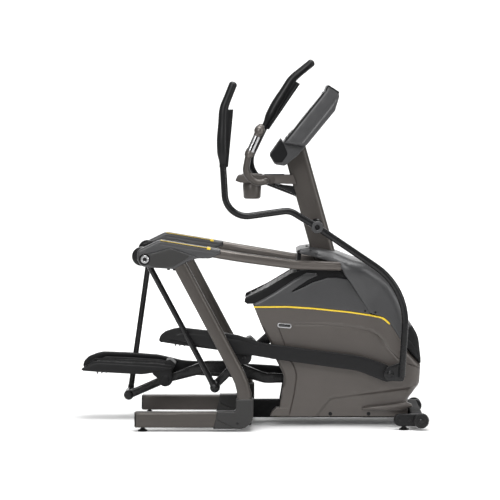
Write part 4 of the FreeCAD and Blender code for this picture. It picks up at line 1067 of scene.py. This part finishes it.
def at_rest(side, joint, part):
    """Where a moving part of one side goes at rest: about its joint's pivot, at its own angle."""
    return placed(PIVOT[f"{NAMES[side]}_{joint}"], SIDE_POSE[side][part])


def suspension_rod(side):
    """Round rod with a forged eye, bush and bore at each end."""
    y = side * ROD_MIDDLE
    spine = [(0, y, z) for z in (-14, -40, 40 - ROD_LENGTH, 14 - ROD_LENGTH)]
    rod = Shape(side).swept(spine, circle(32), lambda share: 13 + 3.5 * max(0, abs(2 * share - 1) - 0.9) * 10,
                            (1, 0, 0))
    for z, radius, bore in ((0, 24, 12.1), (-ROD_LENGTH, 22, 10.1)):
        rod.turned([(bore, 230), (radius - 6, 230), (radius, 234), (radius, 252), (radius - 6, 256), (bore, 256)],
                   (0, z), 1.5)
    rod.piece("hanging_rod", "suspension_rod", turn=at_rest(side, "rod_swing", "rod"))


def support_arm(side):
    """Bent bar with turned bosses and cross pins, from the rod's foot to the crank."""
    hub_x, hub_z = LEVER_LENGTH * math.cos(LEVER_BEND), LEVER_LENGTH * math.sin(LEVER_BEND)
    outline = [(6, -18, 6), (hub_x + 4, hub_z - 21, 120), (390, 72, 120), (520, 54, 160), (668, -6, 120),
               (SUPPORT_LENGTH, -19, 4), (SUPPORT_LENGTH, 19, 4), (676, 44, 120), (530, 118, 160), (390, 132, 120),
               (270, 100, 60), (hub_x - 2, hub_z + 19, 60), (-6, 18, 6)]
    arm = Shape(side).plate(outline, 95, 125, 6, 18)
    for x, z, radius, low, high in ((0, 0, 24, 95, 228), (0, 0, 10, 226, 260), (hub_x, hub_z, 27, 94, 126),
                                    (hub_x, hub_z, 10, 62, 198), (SUPPORT_LENGTH, 0, 33, 93, 127)):
        arm.turned(disc(radius, low, high), (x, z), 2)
    arm.turned([(0, 256.5), (19, 256.5), (19, 260), (12, 263), (0, 263)], soft=1.2, sides=40)
    arm.bolt((0, 0), 262, 9, 5)
    arm.piece("support_bar", "support_arm", turn=at_rest(side, "support_pivot", "support"))


both(suspension_rod)
both(support_arm)


# ---------------------------------------------------------------- pedals and links


LINK_EYE = (694.16, -73.13)
LINK_INNER, LINK_OUTER, PEDAL_INNER = 200, 228, 60
LINK_OUTLINE = [
    (-407, 84, 8), (-399, 108, 20), (-375, 128, 30), (-335, 141, 60), (-300, 146, 60), (-170, 131, 80),
    (-33, 110, 60), (32, 90, 30), (83, 72, 200), (560, 9, 400), (672, -30, 60), (734, -62, 20), (724, -106, 24),
    (676, -114, 30), (538, -60, 160), (149, -7, 400), (40, 12, 60), (-70, 24, 100), (-300, 82, 20), (-346, 91, 12),
    (-376, 74, 10), (-397, 74, 6)]
PEDAL_OUTLINE = [(-408, 82, 6), (-396, 73, 6), (-300, 58, 80), (-110, 33, 100), (-40, 38, 20), (36, 44, 12),
                 (40, 66, 8), (-42, 82, 60), (-317, 116, 30), (-345, 116, 20)]
PEDAL_CORE = [(-400, 82, 6), (-394, 75, 6), (-300, 60, 80), (-110, 35, 100), (-40, 38, 20), (36, 44, 6),
              (36, 55, 4), (24, 57.5, 3), (-42, 70, 60), (-310, 104, 20), (-330, 103, 6), (-352, 103, 20)]
PEDAL_WEB = [(-72, 42, 10), (-34, 4, 20), (0, -6, 10), (34, 4, 20), (36, 52, 6)]
PEDAL_TOE = [(-8, 44, 4), (40, 44, 4), (58, 70, 8), (30, 96, 10), (10, 92, 8)]
TREAD_TOP = [(-329, 108.5), (-310, 110.5), (-42, 76.5), (23, 63.5)]
TREAD_COLUMNS, TREAD_RIDGE, TREAD_RIM, TREAD_DEPTH = 75, 2.2, 2.4, 4.8


def tread(side):
    """Ribbed tread: long ridges between a raised rim, over a crowned top."""
    mat = Shape(side)
    line = divided(rounded(TREAD_TOP, 60, closed=False), 7, closed=False)
    low, high = PEDAL_INNER + 7.5, LINK_INNER - 7.5
    rows = []
    for index, (x, z) in enumerate(line):
        share = index / (len(line) - 1)
        row = []
        for column in range(TREAD_COLUMNS + 1):
            across = column / TREAD_COLUMNS
            ridge = TREAD_RIDGE * (0.5 + 0.5 * math.cos(2 * math.pi * column / 5))
            ridge *= 0.35 + 0.65 * abs(math.sin(26 * share))
            on_rim = min(across, 1 - across, share, 1 - share) * 2 < 0.045
            row.append(mat.at(x, low + (high - low) * across, z + (TREAD_RIM if on_rim else ridge)))
        rows.append(row)
    under = [[mat.at(x, y, z - TREAD_DEPTH) for y in (low, high)] for x, z in line]
    mat.skin([row + end[::-1] for row, end in zip(rows, under)])
    return mat


def pedal(side):
    """Link plate with its crease, moulded pedal with side walls and lugs, and the ribbed tread."""
    turn = at_rest(side, "pedal_pivot", "link")
    crease = Groove([(-318, 112), (-290, 122), (-170, 108), (-20, 86), (60, 62)], 5, 1.8, 40)
    link = Shape(side).plate(LINK_OUTLINE, LINK_INNER, LINK_OUTER, 6, 16, [crease])
    link.turned([(0, 220), (30, 220), (30, 231), (26, 232), (0, 232)], LINK_EYE, 1.5)
    link.piece("link_bar", "pedal_link", turn=turn)
    body = Shape(side).plate(PEDAL_CORE, PEDAL_INNER + 3, LINK_INNER - 3, 4, 18)
    step = Groove([(-396, 84), (-345, 104), (-310, 104), (-42, 68), (34, 54)], 4, 1.4, 30)
    body.plates(PEDAL_OUTLINE, ((PEDAL_INNER, PEDAL_INNER + 7), (LINK_INNER - 7, LINK_INNER)), 2.6, 14, [step])
    for low, high in ((PEDAL_INNER + 2, 89), (131.5, LINK_INNER - 4)):
        body.plate(PEDAL_WEB, low + 1, high - 1, 3, 12)
        body.turned([(0, low), (33, low), (35, low + 2.5), (35, high - 2.5), (33, high), (0, high)], soft=1.5)
    body.turned([(0, 59), (16, 59), (20, 63), (20, 68), (0, 68)], soft=1.5, sides=40)
    for n in range(4):
        x, z = -330 + 22 * n, 60 - 0.1 * n
        body.swept([(x, side * 72, z), (x, side * 190, z)], bar_section(5, 16, 1.5))
    body.plate(PEDAL_TOE, PEDAL_INNER + 8, LINK_INNER - 2, 5, 12)
    body.piece("pedal_moulding", "pedal", turn=turn)
    tread(side).piece("tread_mat", "pedal_tread", turn=turn)


both(pedal)


# ---------------------------------------------------------------- moving handlebars


HANDLE_UPPER = [(-18, 10.8), (-131, 79), (-430, 37), (-446, 300), (-449, 400), (-443, 566)]
HANDLE_LOWER = [(18, -12.2), (428, -289), (402, -712)]
GRIP_LINE = [(-444.5, 300), (-449, 400), (-443, 560), (-398, 672)]
BLADE_OUTLINE = [(-440, 284, 4), (-421, 284, 4), (-396, 556, 3), (-428, 556, 3), (-438, 500, 40), (-442, 400, 40)]
BOLT_X, BOLT_Z = BOLT_EYE = (348.5, -698.9)
BRACKET_OUTLINE = [(BOLT_X - 20, BOLT_Z - 32, 20), (414, BOLT_Z - 36, 12), (414, BOLT_Z + 56, 10),
                   (396, BOLT_Z + 56, 8), (BOLT_X - 14, BOLT_Z + 34, 20), (BOLT_X - 36, BOLT_Z, 24)]
HUB = [(0, 241), (29, 241), (29, 280), (26, 283), (12, 283), (11, 281.5), (0, 281.5)]
HUB_RING = [(12, 282), (25, 282), (27.5, 283.5), (27.5, 285), (25, 286.5), (15, 286.5), (13, 284.5), (12, 284.5),
            (12, 282)]
HUB_BOLT = [(0, 281), (10.5, 281), (10.5, 284.5), (8, 286), (5.5, 286), (5.5, 283), (0, 283)]


def in_plane(pairs, side):
    """Side view points on a handlebar's own plane."""
    return [(x, side * HANDLE_PLANE, z) for x, z in pairs]


def grip_radius(share):
    """The foam swells above its collar, runs straight and narrows before its rounded tip."""
    swell = 8.5 * float(smooth(share / 0.14)) - 4.0 * float(smooth((share - 0.3) / 0.25))
    return 18 + swell - 3.0 * float(smooth((share - 0.55) / 0.3))


def moving_handle(side):
    """Bent tubes with a hub, bracket and link bolt, and a foam grip with a hard front blade."""
    turn = at_rest(side, "handlebar_swing", "handle")
    tube = Shape(side).swept(bent(in_plane(HANDLE_UPPER, side), [80, 105, 400, 700]), circle(32), 16.0)
    tube.swept(bent(in_plane(HANDLE_LOWER, side), 320), circle(32), 16.0).turned(HUB, soft=1.5, sides=56)
    tube.plate(BRACKET_OUTLINE, HANDLE_PLANE - 24, HANDLE_PLANE - 14, 3, 14)
    tube.piece("handle_tube", "moving_handle", turn=turn)
    Shape(side).turned(HUB_RING, soft=0.8, sides=56).piece("hub_ring", None, "slate_plastic", "handlebar", turn)
    bolts = Shape(side).turned(HUB_BOLT, soft=0.6, sides=32)
    bolts.turned([(0, 236), (16, 236), (16, 254), (12, 257), (0, 257)], BOLT_EYE, 1, 32)
    bolts.bolt(BOLT_EYE, 256, 10, 5).piece("handle_bolts", None, "black_steel", "handlebar", turn)
    spine = bent(in_plane(GRIP_LINE, side), [400, 160], turn_step=3)
    dense = [a.lerp(b, k / 6) for a, b in zip(spine, spine[1:]) for k in range(6)] + [spine[-1]]
    foam = Shape(side).swept(dense, circle(40), grip_radius, domes=(0, 15))
    grip = foam.piece("foam_grip", "handle_grip", turn=turn)
    line = Groove([(-427, 300), (-420, 400), (-411, 545)], 4, 1.4, 100)
    blade = Shape(side).plate(BLADE_OUTLINE, HANDLE_PLANE - 13, HANDLE_PLANE + 13, 4, 14, [line])
    blade.swept(in_plane([(-445.3, 282), (-444.6, 310)], side), circle(36),
                lambda share: 17.6 + 2.4 * math.sin(math.pi * share), (1, 0, 0))
    blade.piece("grip_blade", None, "black_plastic", "handlebar", turn)


both(moving_handle)


# ---------------------------------------------------------------- studio, in metres


CAMERA_PLACE, CAMERA_DROP, CAMERA_TURN = (0.083, -11.947, 1.578), 3.552, 0.470      # place in m, angles in degrees
LENS, SENSOR = 178.2, 36                                                            # mm
FLOOR_HALF, FLOOR_FRONT, FLOOR_BACK, BACKDROP_TOP, FLOOR_BEND = 30.0, -40.0, 12.0, 14.0, 4.0
LIGHTS = {
    # name: place, target, width, height, power
    "overhead": ((0.3, -0.3, 4.6), (0, 0, 0.4), 3.6, 3.0, 250),
    "key": ((-1.8, -5.4, 3.6), (0, 0, 0.8), 2.6, 2.0, 190),
    "front_rim": ((4.2, -2.6, 2.2), (0.3, 0, 0.7), 0.9, 2.6, 60),
    "backdrop": ((0, 3.8, 6.5), (0, 13, 2.5), 14.0, 2.4, 1700),
}


def make_camera():
    """Long lens, at standing eye height, looking at the machine's right-hand side."""
    data = bpy.data.cameras.new("camera")
    data.lens, data.sensor_width, data.clip_end = LENS, SENSOR, 60
    camera = new_object("camera", data)
    camera.location = CAMERA_PLACE
    camera.rotation_euler = (math.radians(90 - CAMERA_DROP), 0, math.radians(CAMERA_TURN))
    bpy.context.scene.camera = camera


def area_light(name, place, target, width, height, power):
    """A soft rectangular light that faces a target."""
    data = bpy.data.lights.new(name, "AREA")
    data.shape = "RECTANGLE"
    data.size, data.size_y, data.energy = width, height, power
    light = new_object(name, data)
    light.location = place
    light.rotation_mode = "QUATERNION"
    light.rotation_quaternion = (Vector(target) - Vector(place)).to_track_quat("-Z", "Y")


def make_studio():
    """Pale floor that curves up into the backdrop, white surroundings and four soft lights."""
    profile = [(FLOOR_FRONT, 0.0)]
    for angle in (math.radians(90 * step / 16) for step in range(17)):
        profile.append((FLOOR_BACK + FLOOR_BEND * math.sin(angle), FLOOR_BEND - FLOOR_BEND * math.cos(angle)))
    profile.append((FLOOR_BACK + FLOOR_BEND, BACKDROP_TOP))
    bm = bmesh.new()
    rows = [[bm.verts.new((x, y, z)) for x in (-FLOOR_HALF, FLOOR_HALF)] for y, z in profile]
    for (a, b), (c, d) in zip(rows, rows[1:]):
        bm.faces.new((a, b, d, c))
    mesh = smooth_mesh("studio_floor", bm)
    floor = new_object("studio_floor", mesh)
    material, tree, principled = shader("floor_paper")
    paper = mixed_colour(tree, noise(tree, 1.5), (0.88, 0.88, 0.88), (0.90, 0.90, 0.90))
    tree.links.new(paper, principled.inputs["Base Color"])
    for key, value in (("Roughness", 0.8), ("Specular IOR Level", 0.1), ("Emission Color", (1, 1, 1, 1)),
                       ("Emission Strength", 0.05)):
        principled.inputs[key].default_value = value
    mesh.materials.append(material)
    world = bpy.data.worlds.new("studio_world")
    world.use_nodes = True
    background = world.node_tree.nodes["Background"]
    background.inputs["Color"].default_value = (1, 1, 1, 1)
    background.inputs["Strength"].default_value = 0.34
    bpy.context.scene.world = world
    bpy.context.scene.view_settings.view_transform = "Standard"
    for name, settings in LIGHTS.items():
        area_light(name, *settings)


make_camera()
make_studio()
